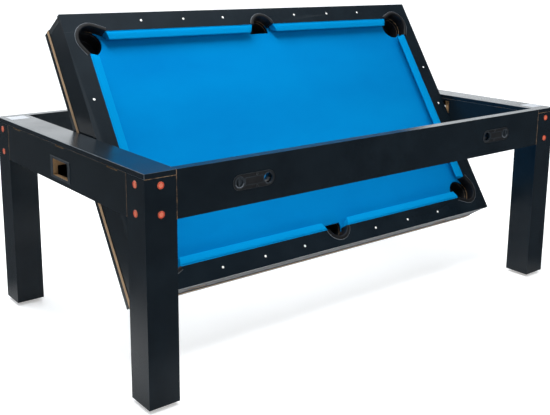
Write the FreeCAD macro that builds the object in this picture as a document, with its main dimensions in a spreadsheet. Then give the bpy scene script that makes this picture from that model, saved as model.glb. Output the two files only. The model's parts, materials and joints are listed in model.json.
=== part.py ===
import FreeCAD, Part
import math
import os
import re

import Sketcher

# A two-sided games table: a fixed frame of four legs, two side aprons and two box-shaped end
# aprons, and a playing box that turns on a lengthwise axis between the end aprons. One side of the
# box is a pool table, the other is a hockey board. The origin is on the floor under the middle of
# the frame, +X runs along the table, +Y across it to the far side, and +Z is up.
# Pieces of the playing box are drawn level about the turning axis and then tilted together.

# ---------------------------------------------------------------------------------------------
# Driving dimensions, in millimetres and degrees
# ---------------------------------------------------------------------------------------------
SIZES = {
    # frame
    "frame_length": 2134,
    "frame_width": 1220,
    "frame_height": 800,
    "board_thickness": 18,
    "foot_height": 14,
    "leg_side": 115,
    "leg_plug_height": 40,
    "post_height": 160,
    "apron_height": 162,
    "apron_thickness": 38,
    "end_depth": 120,
    "window_width": 126,
    "window_height": 62,
    "window_base": 664,
    "trim_width": 18,
    "trim_thickness": 2,
    "slot_spacing": 402,
    "slot_length": 72,
    "slot_height": 5,
    "hatch_width": 200,
    "hatch_height": 108,
    "hatch_base": 664,
    "rib_gap": 126,
    "rib_base": 696,
    # frame fasteners
    "cap_radius": 12,
    "cap_thickness": 2,
    "cap_plug_radius": 7,
    "cap_plug_depth": 4,
    "upper_bolt_height": 757,
    "lower_bolt_height": 663,
    "bolt_head_depth": 11,
    "bolt_shank_radius": 4,
    "bolt_length": 40,
    "dowel_radius": 4,
    "dowel_length": 50,
    "dowel_inset": 9,
    "inner_dowel_inset": 12,
    "upper_dowel_height": 735,
    "lower_dowel_height": 690,
    "screw_radius": 4.5,
    "screw_shank_radius": 2,
    "screw_length": 14,
    "screw_hole_depth": 18,
    "screw_shift": 12,
    "screw_rise": 21,
    # levelling feet
    "foot_pad_radius": 22,
    "foot_pad_height": 9,
    "foot_pad_slope_width": 6,
    "foot_pad_slope_height": 3,
    "foot_neck_radius": 9,
    "foot_stem_radius": 5,
    "foot_stem_top": 50,
    "foot_clearance": 0.08,
    # pivot
    "pivot_height": 719,
    "tilt_angle": 57,
    "shaft_radius": 10,
    "shaft_end": 972,
    "shaft_root": 896,
    "flange_radius": 35,
    "flange_thickness": 4,
    "pivot_plate_width": 44,
    "pivot_plate_height": 136,
    "pivot_plate_drop": 8,
    "pivot_plate_thickness": 6,
    "pivot_plate_inset": 2,
    "bush_radius": 14,
    "bush_length": 14,
    "bush_clearance": 0.05,
    # latches
    "latch_centre": 650,
    "latch_hole_offset": 60,
    "latch_plate_radius": 27,
    "latch_plate_thickness": 6,
    "latch_plate_proud": 2,
    "sight_hole_radius": 18,
    "latch_head_radius": 19,
    "latch_head_thickness": 9,
    "latch_rim_width": 4,
    "latch_dish_depth": 6,
    "latch_grip_width": 5,
    "latch_grip_depth": 6,
    "latch_grip_length": 28,
    "latch_grip_shift": 3,
    "latch_tip_inset": 1,
    "latch_pocket_depth": 32,
    "latch_shank_radius": 8,
    "latch_clearance": 0.1,
    "keeper_inner": 640,
    "keeper_outer": 726,
    "keeper_height": 19,
    # playing box
    "box_length": 1884,
    "box_width": 1125,
    "box_thickness": 162,
    "rail_width": 78,
    "rail_depth": 42,
    "lip_inset": 2,
    "cloth_thickness": 1,
    "cloth_margin": 14,
    "cushion_width": 35.5,
    "end_cushion_width": 40,
    "cushion_top_drop": 1.5,
    "nose_drop": 6.5,
    "nose_depth": 7,
    "cushion_base_drop": 35,
    "cushion_base_width": 15,
    "corner_pocket_across": 836,
    "corner_pocket_out": 452,
    "corner_pocket_radius": 56,
    "long_wing_angle": 23.4,
    "long_wing_length": 48,
    "end_wing_angle": 60.3,
    "end_wing_length": 42,
    "side_pocket_out": 472,
    "side_pocket_radius": 52,
    "side_pocket_shelf": 457,
    "side_cushion_gap": 58,
    "side_nose_gap": 72,
    "long_cushion_end": 770,
    "long_nose_end": 760,
    "end_cushion_half": 390,
    "end_nose_half": 382,
    "run_off": 9,
    "rim_flange": 13,
    "rim_wall": 2.5,
    "rim_thickness": 2,
    "cup_wall": 2.5,
    "cup_base_level": -38,
    "marker_radius": 5,
    "marker_depth": 2,
    "marker_pitch": 200,
    "rib_height": 60,
    "brace_position": 300,
    "brace_hole_radius": 20,
    "brace_hole_pitch": 220,
    "pivot_block_width": 120,
    "pivot_block_depth": 50,
    "pivot_block_gap": 1,
    # hockey side
    "hockey_rail_depth": 23,
    "goal_width": 280,
    "goal_depth": 46,
    "goal_tray_depth": 26,
    "goal_tray_wall": 2.5,
    "blower_side": 130,
    "blower_height": 38,
    "blower_across": 810,
    "blower_out": 250,
    "blower_wall": 3,
    "blower_pin_radius": 3,
    "blower_pin_gap": 4,
    "blower_outlet_width": 40,
    "blower_outlet_shift": 5,
    "air_slot_width": 5,
    "air_slot_height": 26,
    "air_slot_pitch": 12,
    "air_slot_base": -23,
    "rotor_radius": 52,
    "rotor_height": 24,
    "rotor_hub_radius": 16,
    "rotor_plate": 2,
    "rotor_lift": 4,
    "rotor_tip_gap": 5,
    "switch_across": 903,
    "switch_out": 330,
    "switch_length": 26,
    "switch_width": 22,
    "rocker_radius": 8,
    "rocker_length": 15,
    "rocker_depth": 5,
    "rocker_clearance": 0.1,
    "rocker_dish": 16,
    "rocker_dish_shift": 3,
    "rocker_dish_level": 22,
    "flange_margin": 3,
    "flange_height": 2,
    "jack_out": 290,
    "jack_radius": 6,
    "jack_bore_radius": 2.75,
    "jack_depth": 14,
    "jack_barrel_length": 16,
    "jack_collar_radius": 8,
    "jack_collar_height": 1.5,
}

NEAR, FAR = -1, 1
LEFT, RIGHT = -1, 1
SIDES = (("near", NEAR), ("far", FAR))
ENDS = (("left", LEFT), ("right", RIGHT))
CORNERS = [(side_name, side, end_name, end) for side_name, side in SIDES for end_name, end in ENDS]

doc = FreeCAD.newDocument("games_table")
sheet = doc.addObject("Spreadsheet::Sheet", "sizes")
for row, (alias, number) in enumerate(SIZES.items(), start=1):
    sheet.set("A%d" % row, alias)
    sheet.set("B%d" % row, str(number))
    sheet.setAlias("B%d" % row, alias)
doc.recompute()

sub_parts = []
ALIAS = re.compile(r"[a-z]+(?:_[a-z]+)+")


# ---------------------------------------------------------------------------------------------
# Helpers
# ---------------------------------------------------------------------------------------------
def bind(thing, prop, formula):
    """Tie one property of an object to a formula of the sheet's aliases."""
    thing.setExpression(prop, ALIAS.sub(lambda found: "sizes." + found.group(0), str(formula)))


def place(thing, across, along, up):
    """Tie an object's position to three formulas, for X, Y and Z."""
    for axis, formula in zip("xyz", (across, along, up)):
        bind(thing, "Placement.Base." + axis, formula)


def box(name, length, width, height, corner):
    """A block with its lowest corner at the given place."""
    block = doc.addObject("Part::Box", name)
    bind(block, "Length", length)
    bind(block, "Width", width)
    bind(block, "Height", height)
    place(block, *corner)
    return block


def cylinder(name, radius, height, base, direction=(0, 0, 1)):
    """A round bar that starts at the given place and runs in the given direction."""
    bar = doc.addObject("Part::Cylinder", name)
    bind(bar, "Radius", radius)
    bind(bar, "Height", height)
    turn = FreeCAD.Rotation(FreeCAD.Vector(0, 0, 1), FreeCAD.Vector(*direction))
    bar.Placement = FreeCAD.Placement(FreeCAD.Vector(0, 0, 0), turn)
    place(bar, *base)
    return bar


def together(kind, name, solids):
    """One boolean or compound object made from several solids."""
    if len(solids) == 1:
        return solids[0]
    joined = doc.addObject(kind, name)
    if kind == "Part::Compound":
        joined.Links = solids
    else:
        joined.Shapes = solids
    return joined


def fuse(name, solids):
    return together("Part::MultiFuse", name, solids)


def group(name, solids):
    return together("Part::Compound", name, solids)


def cut(name, base, tools):
    """The base with every tool taken out of it."""
    result = doc.addObject("Part::Cut", name)
    result.Base = base
    result.Tool = group(name + "_tools", tools)
    return result


def common(name, solids):
    shared = doc.addObject("Part::MultiCommon", name)
    shared.Shapes = solids
    return shared


def keep(thing, label):
    """Count an object as a finished sub-part of the frame."""
    thing.Label = label
    sub_parts.append(thing)
    return thing


def keep_tilted(thing, label):
    """Count an object as a finished sub-part of the playing box, and tilt it into place."""
    turn = FreeCAD.Rotation(FreeCAD.Vector(1, 0, 0), SIZES["tilt_angle"])
    thing.Placement = FreeCAD.Placement(FreeCAD.Vector(0, 0, 0), turn)
    bind(thing, "Placement.Base.z", "pivot_height")
    return keep(thing, label)


def new_body(name):
    return doc.addObject("PartDesign::Body", name)


def new_sketch(body, name, role):
    """A sketch on one of its own body's origin planes."""
    drawing = body.newObject("Sketcher::SketchObject", name)
    plane = [feature for feature in body.Origin.OriginFeatures if feature.Role == role][0]
    drawing.AttachmentSupport = [(plane, "")]
    drawing.MapMode = "FlatFace"
    return drawing


def fix(drawing, kind, geometry, point, formula):
    """Hold a sketch point at a formula's distance from the origin along one sketch axis."""
    index = drawing.addConstraint(Sketcher.Constraint(kind, geometry, point, 1.0))
    bind(drawing, "Constraints[%d]" % index, formula)


def outline(drawing, corners):
    """A closed outline of straight lines through the given corners, each a pair of formulas."""
    first = drawing.GeometryCount
    count = len(corners)
    for number in range(count):
        start = FreeCAD.Vector(number, number * number, 0)
        following = (number + 1) % count
        end = FreeCAD.Vector(following, following * following, 0)
        drawing.addGeometry(Part.LineSegment(start, end), False)
    for number, (sideways, upwards) in enumerate(corners):
        following = first + (number + 1) % count
        drawing.addConstraint(Sketcher.Constraint("Coincident", first + number, 2, following, 1))
        fix(drawing, "DistanceX", first + number, 1, sideways)
        fix(drawing, "DistanceY", first + number, 1, upwards)


def circle(drawing, radius, sideways, upwards):
    """A full circle in a sketch."""
    ring = drawing.addGeometry(Part.Circle(FreeCAD.Vector(1, 1, 0), FreeCAD.Vector(0, 0, 1), 1), False)
    fix(drawing, "DistanceX", ring, 3, sideways)
    fix(drawing, "DistanceY", ring, 3, upwards)
    index = drawing.addConstraint(Sketcher.Constraint("Radius", ring, 1.0))
    bind(drawing, "Constraints[%d]" % index, radius)


def pad(body, drawing, length):
    """Raise a sketch equally to both sides of its plane."""
    raised = body.newObject("PartDesign::Pad", drawing.Name + "_pad")
    raised.Profile = drawing
    raised.SideType = "Symmetric"
    bind(raised, "Length", length)
    return raised


def pocket(body, drawing):
    """Cut a sketch through everything, to both sides of its plane."""
    doc.recompute()
    before = body.Shape.Volume
    hollow = body.newObject("PartDesign::Pocket", drawing.Name + "_pocket")
    hollow.Profile = drawing
    hollow.Type = "ThroughAll"
    hollow.SideType = "Symmetric"
    doc.recompute()
    if body.Shape.Volume >= before:
        raise RuntimeError("pocket cut nothing: " + drawing.Name)
    return hollow


def turned(name, corners):
    """A body turned about its own Z axis from a half section of (radius, height) formulas."""
    body = new_body(name)
    drawing = new_sketch(body, name + "_section", "XZ_Plane")
    outline(drawing, corners)
    spun = body.newObject("PartDesign::Revolution", name + "_turned")
    spun.Profile = drawing
    spun.ReferenceAxis = (drawing, ["V_Axis"])
    spun.Angle = 360
    return body


def aim(body, direction, base):
    """Point a turned body's Z axis in a direction and put its origin at a place."""
    turn = FreeCAD.Rotation(FreeCAD.Vector(0, 0, 1), FreeCAD.Vector(*direction))
    body.Placement = FreeCAD.Placement(FreeCAD.Vector(0, 0, 0), turn)
    place(body, *base)
    return body


def signed(sign, formula):
    return "%d * (%s)" % (sign, formula)


def low_edge(sign, near_formula, far_formula):
    """The lower coordinate of a span that is mirrored to one side or the other."""
    return far_formula if sign > 0 else "-(%s)" % near_formula


# ---------------------------------------------------------------------------------------------
# Frame: legs, posts inside them, and the plugs that take the levelling feet
# ---------------------------------------------------------------------------------------------
LEG_CENTRE_X = "frame_length / 2 - leg_side / 2"
LEG_CENTRE_Y = "frame_width / 2 - leg_side / 2"
LEG_HOLLOW = "leg_side - 2 * board_thickness"
LEG_TOP = "frame_height - board_thickness"
BOLT_HEIGHTS = ("upper_bolt_height", "lower_bolt_height")
DOWEL_HEIGHTS = ("upper_dowel_height", "lower_dowel_height")


def centred_block(name, side, height, end, side_sign, base):
    """A square block on a leg's centre line."""
    return box(name, side, side, height, (
        signed(end, LEG_CENTRE_X) + " - (%s) / 2" % side,
        signed(side_sign, LEG_CENTRE_Y) + " - (%s) / 2" % side,
        base))


def bolt_places(side, end):
    """Where the four bolts of one leg enter it, with the inward direction of each."""
    for height in BOLT_HEIGHTS:
        yield (signed(end, "frame_length / 2"), signed(side, LEG_CENTRE_Y), height), (-end, 0, 0)
        yield (signed(end, LEG_CENTRE_X), signed(side, "frame_width / 2"), height), (0, -side, 0)


def inward(start, direction, depth):
    """A place moved by a depth along an axis direction."""
    return tuple(formula if step == 0 else "%s + %d * (%s)" % (formula, step, depth)
                 for formula, step in zip(start, direction))


def dowel_places(side, end):
    """Where the dowels of one leg start, with the direction of each."""
    for height in DOWEL_HEIGHTS:
        apron_row = signed(side, "frame_width / 2 - dowel_inset")
        leg_face = signed(end, "frame_length / 2 - leg_side - dowel_length / 2")
        yield (leg_face, apron_row, height), (end, 0, 0)
        panel_end = signed(side, "frame_width / 2 - leg_side - dowel_length / 2")
        yield (signed(end, "frame_length / 2 - dowel_inset"), panel_end, height), (0, side, 0)
        inner_row = signed(end, "frame_length / 2 - end_depth + inner_dowel_inset")
        yield (inner_row, panel_end, height), (0, side, 0)


def dowel_set(name, side, end):
    return [cylinder("%s_dowel_%d" % (name, number), "dowel_radius", "dowel_length", start, direction)
            for number, (start, direction) in enumerate(dowel_places(side, end))]


def make_legs():
    for side_name, side, end_name, end in CORNERS:
        name = "leg_%s_%s" % (side_name, end_name)
        outside = centred_block(name + "_outside", "leg_side", LEG_TOP + " - foot_height", end, side,
                                "foot_height")
        tools = [centred_block(name + "_hollow", LEG_HOLLOW, LEG_TOP, end, side, "foot_height")]
        for number, (start, direction) in enumerate(bolt_places(side, end)):
            tools.append(cylinder("%s_counterbore_%d" % (name, number), "cap_plug_radius",
                                  "bolt_head_depth", start, direction))
            tools.append(cylinder("%s_bolt_hole_%d" % (name, number), "bolt_shank_radius",
                                  "bolt_length", start, direction))
        tools += dowel_set(name, side, end)
        keep(cut(name, outside, tools), name)


def make_leg_blocks():
    """A post at the top of each hollow leg takes the bolts, and a plug at its foot takes the foot."""
    blocks = []
    for side_name, side, end_name, end in CORNERS:
        name = "post_%s_%s" % (side_name, end_name)
        block = centred_block(name + "_block", LEG_HOLLOW, "post_height", end, side,
                              LEG_TOP + " - post_height")
        holes = [cylinder("%s_hole_%d" % (name, number), "bolt_shank_radius",
                          "bolt_head_depth + bolt_length", start, direction)
                 for number, (start, direction) in enumerate(bolt_places(side, end))]
        blocks.append(cut(name, block, holes))

        name = "plug_%s_%s" % (side_name, end_name)
        block = centred_block(name + "_block", LEG_HOLLOW, "leg_plug_height", end, side, "foot_height")
        hole = cylinder(name + "_hole", "foot_stem_radius + foot_clearance", "leg_plug_height",
                        (signed(end, LEG_CENTRE_X), signed(side, LEG_CENTRE_Y), "foot_height"))
        blocks.append(cut(name, block, [hole]))
    keep(group("leg_blocks", blocks), "leg_blocks")


def make_feet():
    """Each levelling foot is one turned piece: a wide pad, a neck and a stem in the leg's plug."""
    for side_name, side, end_name, end in CORNERS:
        name = "levelling_foot_%s_%s" % (side_name, end_name)
        body = turned(name, [
            ("0", "0"),
            ("foot_pad_radius - 1", "0"),
            ("foot_pad_radius", "1"),
            ("foot_pad_radius", "foot_pad_height - foot_pad_slope_height"),
            ("foot_pad_radius - foot_pad_slope_width", "foot_pad_height"),
            ("foot_neck_radius", "foot_pad_height"),
            ("foot_neck_radius", "foot_height"),
            ("foot_stem_radius", "foot_height"),
            ("foot_stem_radius", "foot_stem_top"),
            ("0", "foot_stem_top"),
        ])
        aim(body, (0, 0, 1), (signed(end, LEG_CENTRE_X), signed(side, LEG_CENTRE_Y), "0"))
        keep(body, name)


def make_bolts_and_caps():
    bolts = []
    caps = []
    for side_name, side, end_name, end in CORNERS:
        for number, (start, direction) in enumerate(bolt_places(side, end)):
            tag = "%s_%s_%d" % (side_name, end_name, number)
            head_start = inward(start, direction, "cap_plug_depth")
            head = cylinder("bolt_head_" + tag, "cap_plug_radius - 0.5",
                            "bolt_head_depth - cap_plug_depth", head_start, direction)
            shank_start = inward(start, direction, "bolt_head_depth")
            shank = cylinder("bolt_shank_" + tag, "bolt_shank_radius - 0.2",
                             "bolt_length - bolt_head_depth", shank_start, direction)
            bolts.append(fuse("bolt_" + tag, [head, shank]))
            cap = turned("cap_" + tag, [
                ("0", "-cap_thickness"),
                ("cap_radius - 1.5", "-cap_thickness"),
                ("cap_radius", "-0.5"),
                ("cap_radius", "0"),
                ("cap_plug_radius - 0.1", "0"),
                ("cap_plug_radius - 0.1", "cap_plug_depth"),
                ("0", "cap_plug_depth"),
            ])
            caps.append(aim(cap, direction, start))
    keep(group("leg_bolts", bolts), "leg_bolts")
    keep(group("bolt_caps", caps), "bolt_caps")


def make_dowels():
    dowels = []
    for side_name, side, end_name, end in CORNERS:
        dowels += dowel_set("joint_%s_%s" % (side_name, end_name), side, end)
    keep(group("joint_dowels", dowels), "joint_dowels")


# ---------------------------------------------------------------------------------------------
# Frame: side aprons with their latches
# ---------------------------------------------------------------------------------------------
APRON_BASE = "frame_height - apron_height"


def stadium(name, side, end, radius, start_depth, depth):
    """A long round-ended block, set in a side apron's outer face."""
    outer = signed(side, "frame_width / 2 - (%s)" % start_depth)
    inner_end = signed(end, "latch_centre - latch_hole_offset")
    outer_end = signed(end, "latch_centre + latch_hole_offset")
    rounds = [cylinder("%s_round_%d" % (name, number), radius, depth,
                       (across, outer, "pivot_height"), (0, -side, 0))
              for number, across in enumerate((inner_end, outer_end))]
    middle = box(name + "_middle", "2 * latch_hole_offset", depth, "2 * (%s)" % radius, (
        signed(end, "latch_centre") + " - latch_hole_offset",
        outer if side < 0 else outer + " - (%s)" % depth,
        "pivot_height - (%s)" % radius))
    return fuse(name, rounds + [middle])


def latch_axis(side, end, depth="0"):
    """A place on a latch bolt's centre line, at a depth behind the apron's outer face."""
    return (signed(end, "latch_centre + latch_hole_offset"),
            signed(side, "frame_width / 2 - (%s)" % depth),
            "pivot_height")


def sight_axis(side, end, depth="0"):
    """A place on a sight hole's centre line, at a depth behind the apron's outer face."""
    return (signed(end, "latch_centre - latch_hole_offset"),
            signed(side, "frame_width / 2 - (%s)" % depth),
            "pivot_height")


def screw_places(side, end):
    """The two screws of a latch plate, at its outer face."""
    for up in (-1, 1):
        yield (signed(end, "latch_centre - screw_shift"),
               signed(side, "frame_width / 2 + latch_plate_proud"),
               "pivot_height + %d * screw_rise" % up)


def make_side_aprons():
    for side_name, side in SIDES:
        name = "side_apron_" + side_name
        board = box(name + "_board", "frame_length - 2 * leg_side", "apron_thickness", "apron_height", (
            "-(frame_length / 2 - leg_side)",
            "frame_width / 2 - apron_thickness" if side > 0 else "-frame_width / 2",
            APRON_BASE))
        tools = []
        for end_name, end in ENDS:
            tag = "%s_%s" % (name, end_name)
            facing = (0, -side, 0)
            tools.append(stadium(tag + "_recess", side, end, "latch_plate_radius", "0",
                                 "latch_plate_thickness - latch_plate_proud"))
            tools.append(cylinder(tag + "_sight_hole", "sight_hole_radius", "apron_thickness",
                                  sight_axis(side, end), facing))
            tools.append(cylinder(tag + "_latch_pocket", "latch_head_radius + latch_clearance",
                                  "latch_pocket_depth", latch_axis(side, end), facing))
            tools.append(cylinder(tag + "_latch_hole", "latch_shank_radius + latch_clearance",
                                  "apron_thickness", latch_axis(side, end), facing))
            for number, place_of_screw in enumerate(screw_places(side, end)):
                tools.append(cylinder("%s_screw_hole_%d" % (tag, number), "screw_shank_radius",
                                      "screw_hole_depth", place_of_screw, facing))
            tools += dowel_set(tag, side, end)
        keep(cut(name, board, tools), name)


def make_latches():
    plates = []
    for side_name, side, end_name, end in CORNERS:
        tag = "%s_%s" % (side_name, end_name)
        facing = (0, -side, 0)
        blank = stadium("latch_plate_blank_" + tag, side, end, "latch_plate_radius",
                        "-latch_plate_proud", "latch_plate_thickness")
        holes = [
            cylinder("latch_plate_sight_" + tag, "sight_hole_radius", "latch_plate_thickness",
                     sight_axis(side, end, "-latch_plate_proud"), facing),
            cylinder("latch_plate_mouth_" + tag, "latch_head_radius + latch_clearance",
                     "latch_plate_thickness", latch_axis(side, end, "-latch_plate_proud"), facing),
        ]
        for number, place_of_screw in enumerate(screw_places(side, end)):
            holes.append(cylinder("latch_plate_screw_%s_%d" % (tag, number), "screw_radius",
                                  "latch_plate_thickness", place_of_screw, facing))
        plates.append(cut("latch_plate_" + tag, blank, holes))

        bolt = turned("latch_bolt_turned_" + tag, [
            ("0", "latch_dish_depth - latch_plate_proud"),
            ("latch_head_radius - latch_rim_width", "latch_dish_depth - latch_plate_proud"),
            ("latch_head_radius - latch_rim_width", "-latch_plate_proud"),
            ("latch_head_radius", "-latch_plate_proud"),
            ("latch_head_radius", "latch_head_thickness - latch_plate_proud"),
            ("latch_shank_radius", "latch_head_thickness - latch_plate_proud"),
            ("latch_shank_radius", "apron_thickness - 2 * latch_tip_inset"),
            ("latch_shank_radius - latch_tip_inset", "apron_thickness - latch_tip_inset"),
            ("0", "apron_thickness - latch_tip_inset"),
        ])
        aim(bolt, facing, latch_axis(side, end))
        grip = box("latch_grip_" + tag, "latch_grip_width", "latch_grip_depth", "latch_grip_length", (
            signed(end, "latch_centre + latch_hole_offset + latch_grip_shift") + " - latch_grip_width / 2",
            low_edge(side, "frame_width / 2 + latch_plate_proud",
                     "frame_width / 2 + latch_plate_proud - latch_grip_depth"),
            "pivot_height - latch_grip_length / 2"))
        keep(fuse("latch_bolt_" + tag, [bolt, grip]), "latch_bolt_" + tag)
    keep(group("latch_plates", plates), "latch_plates")


# ---------------------------------------------------------------------------------------------
# Frame: box-shaped end aprons with the pivot bearings
# ---------------------------------------------------------------------------------------------
PANEL_LENGTH = "frame_width - 2 * leg_side"
PANEL_HEIGHT = "apron_height - board_thickness"
END_APRON_INNER = "frame_length / 2 - end_depth"


def end_board(name, end, start_depth, thickness, length, height, base):
    """An upright board across one end, at a depth behind the outer face."""
    outer = "frame_length / 2 - (%s)" % start_depth
    return box(name, thickness, length, height, (
        outer + " - (%s)" % thickness if end > 0 else "-(%s)" % outer,
        "-(%s) / 2" % length,
        base))


def make_end_panels():
    for end_name, end in ENDS:
        outer_name = "end_panel_outer_" + end_name
        outer = end_board(outer_name + "_board", end, "0", "board_thickness", PANEL_LENGTH,
                          PANEL_HEIGHT, APRON_BASE)
        tools = [end_board(outer_name + "_window", end, "0", "board_thickness", "window_width",
                           "window_height", "window_base")]
        for step in (-1, 0, 1):
            slot = box("%s_slot_%d" % (outer_name, step + 1), "board_thickness", "slot_length",
                       "slot_height", (
                           "frame_length / 2 - board_thickness" if end > 0 else "-frame_length / 2",
                           "%d * slot_spacing - slot_length / 2" % step,
                           LEG_TOP + " - slot_height"))
            tools.append(slot)
        for side_name, side in SIDES:
            tools += dowel_set("%s_%s" % (outer_name, side_name), side, end)
        keep(cut(outer_name, outer, tools), outer_name)

        inner_name = "end_panel_inner_" + end_name
        depth = "end_depth - board_thickness"
        inner = end_board(inner_name + "_board", end, depth, "board_thickness", PANEL_LENGTH,
                          PANEL_HEIGHT, APRON_BASE)
        tools = [
            end_board(inner_name + "_hatch", end, depth, "board_thickness", "hatch_width",
                      "hatch_height", "hatch_base"),
        ]
        for side_name, side in SIDES:
            tools += dowel_set("%s_%s" % (inner_name, side_name), side, end)
        tools.append(pivot_plate_blank(inner_name + "_groove", end))
        keep(cut(inner_name, inner, tools), inner_name)


def make_end_tops():
    for end_name, end in ENDS:
        name = "end_top_" + end_name
        board = end_board(name + "_board", end, "0", "end_depth", "frame_width", "board_thickness", LEG_TOP)
        notches = [box("%s_notch_%s" % (name, side_name), "end_depth - leg_side", "apron_thickness",
                       "board_thickness", (
                           END_APRON_INNER if end > 0 else "-(frame_length / 2 - leg_side)",
                           "frame_width / 2 - apron_thickness" if side > 0 else "-frame_width / 2",
                           LEG_TOP))
                   for side_name, side in SIDES]
        keep(cut(name, board, notches), name)


def make_window_frames():
    """A flat trim round each window, standing just proud of the panel."""
    frames = []
    for end_name, end in ENDS:
        name = "window_frame_" + end_name
        plate = end_board(name + "_plate", end, "-trim_thickness", "trim_thickness",
                          "window_width + 2 * trim_width", "window_height + trim_width",
                          "window_base - trim_width / 2")
        hole = end_board(name + "_hole", end, "-trim_thickness", "trim_thickness", "window_width",
                         "window_height", "window_base")
        frames.append(cut(name, plate, [hole]))
    keep(group("window_frames", frames), "window_frames")


def make_end_ribs():
    """In each end apron, two raw spacers beside the pivot and a floor board that closes it from below."""
    ribs = []
    for end_name, end in ENDS:
        for side_name, side in SIDES:
            name = "end_rib_%s_%s" % (end_name, side_name)
            start = "frame_length / 2 - board_thickness"
            length = "end_depth - 2 * board_thickness"
            ribs.append(box(name, length, "board_thickness", LEG_TOP + " - rib_base", (
                start + " - (%s)" % length if end > 0 else "-(%s)" % start,
                "rib_gap / 2" if side > 0 else "-rib_gap / 2 - board_thickness",
                "rib_base")))
        ribs.append(end_board("end_floor_" + end_name, end, "board_thickness",
                              "end_depth - 2 * board_thickness", PANEL_LENGTH, "board_thickness",
                              APRON_BASE))
    keep(group("end_ribs", ribs), "end_ribs")


def pivot_plate_blank(name, end):
    return end_board(name, end, "end_depth - pivot_plate_inset - pivot_plate_thickness",
                     "pivot_plate_thickness", "pivot_plate_width", "pivot_plate_height",
                     "pivot_height - pivot_plate_height / 2 - pivot_plate_drop")


def pivot_axis(end, across):
    return (signed(end, across), "0", "pivot_height")


def make_pivot_bearings():
    plates = []
    bushes = []
    for end_name, end in ENDS:
        facing = (end, 0, 0)
        plate_start = END_APRON_INNER + " + pivot_plate_inset"
        seat = cylinder("pivot_seat_" + end_name, "bush_radius", "pivot_plate_thickness",
                        pivot_axis(end, plate_start), facing)
        plates.append(cut("pivot_plate_" + end_name,
                          pivot_plate_blank("pivot_plate_blank_" + end_name, end), [seat]))
        bush = cylinder("bush_outside_" + end_name, "bush_radius", "bush_length",
                        pivot_axis(end, plate_start), facing)
        bore = cylinder("bush_bore_" + end_name, "shaft_radius + bush_clearance",
                        "bush_length", pivot_axis(end, plate_start), facing)
        bushes.append(cut("pivot_bush_" + end_name, bush, [bore]))
    keep(group("pivot_plates", plates), "pivot_plates")
    keep(group("pivot_bushes", bushes), "pivot_bushes")


def make_latch_screws():
    """The round-headed screws that hold the latch plates."""
    screws = []
    for side_name, side, end_name, end in CORNERS:
        for number, start in enumerate(screw_places(side, end)):
            tag = "%s_%s_%d" % (side_name, end_name, number)
            head = cylinder("screw_head_" + tag, "screw_radius - 0.2", "latch_plate_thickness", start,
                            (0, -side, 0))
            shank = cylinder("screw_shank_" + tag, "screw_shank_radius - 0.1", "screw_length", start,
                             (0, -side, 0))
            screws.append(fuse("latch_screw_" + tag, [head, shank]))
    keep(group("latch_screws", screws), "latch_screws")


# ---------------------------------------------------------------------------------------------
# Playing box, drawn level with the turning axis along X at its middle
# ---------------------------------------------------------------------------------------------
TOP = "box_thickness / 2"
RAIL_BASE = TOP + " - rail_depth"
CLOTH_BASE = RAIL_BASE + " - cloth_thickness"
BED_BASE = CLOTH_BASE + " - board_thickness"
HOCKEY_BED_TOP = BED_BASE + " - rib_height"
HOCKEY_BED_BASE = HOCKEY_BED_TOP + " - board_thickness"
INNER_LENGTH = "box_length - 2 * lip_inset - 2 * board_thickness"
INNER_WIDTH = "box_width - 2 * lip_inset - 2 * board_thickness"


def centred_board(name, length, width, base, thickness):
    return box(name, length, width, thickness, ("-(%s) / 2" % length, "-(%s) / 2" % width, base))


def corner_bores(tag, radius, base, depth):
    """Four upright cylinders at the corner pockets."""
    return [cylinder("%s_corner_%s_%s" % (tag, side_name, end_name), radius, depth, (
        signed(end, "corner_pocket_across"), signed(side, "corner_pocket_out"), base))
        for side_name, side, end_name, end in CORNERS]


def corner_mouth(name, radius, side, end, base, depth):
    """A corner pocket's hole in the rails: round, with straight sides running on to the cushions."""
    centre = (signed(end, "corner_pocket_across"), signed(side, "corner_pocket_out"), base)
    solids = [cylinder(name + "_round", radius, depth, centre)]
    for wing in ("long_wing", "end_wing"):
        block = box("%s_%s" % (name, wing), wing + "_length", "2 * (%s)" % radius, depth, centre)
        angle = math.radians(SIZES[wing + "_angle"])
        heading = FreeCAD.Vector(-end * math.cos(angle), -side * math.sin(angle), 0)
        turn = FreeCAD.Rotation(FreeCAD.Vector(1, 0, 0), heading)
        block.Placement = FreeCAD.Placement(FreeCAD.Vector(0, 0, 0), turn)
        # the block's long middle line starts at the pocket's centre, so its side is the round's tangent
        place(block,
              "%s - %d * (%s) * sin(%s_angle * 1 deg)" % (centre[0], side, radius, wing),
              "%s + %d * (%s) * cos(%s_angle * 1 deg)" % (centre[1], end, radius, wing),
              base)
        solids.append(block)
    return fuse(name, solids)


def side_bores(tag, radius, base, depth):
    """Two upright cylinders at the side pockets."""
    return [cylinder("%s_side_%s" % (tag, side_name), radius, depth, (
        "0", signed(side, "side_pocket_out"), base)) for side_name, side in SIDES]


def side_mouths(tag, base, depth):
    """Side pocket holes that stop at a straight shelf in line with the cushions' noses."""
    mouths = []
    for (side_name, side), bore in zip(SIDES, side_bores(tag + "_bore", "side_pocket_radius", base, depth)):
        limit = box("%s_limit_%s" % (tag, side_name), "2 * side_pocket_radius + 2",
                    "side_pocket_radius * 2", depth, (
                        "-side_pocket_radius - 1",
                        "side_pocket_shelf" if side > 0 else "-side_pocket_shelf - side_pocket_radius * 2",
                        base))
        mouths.append(common("%s_mouth_%s" % (tag, side_name), [bore, limit]))
    return mouths


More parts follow.
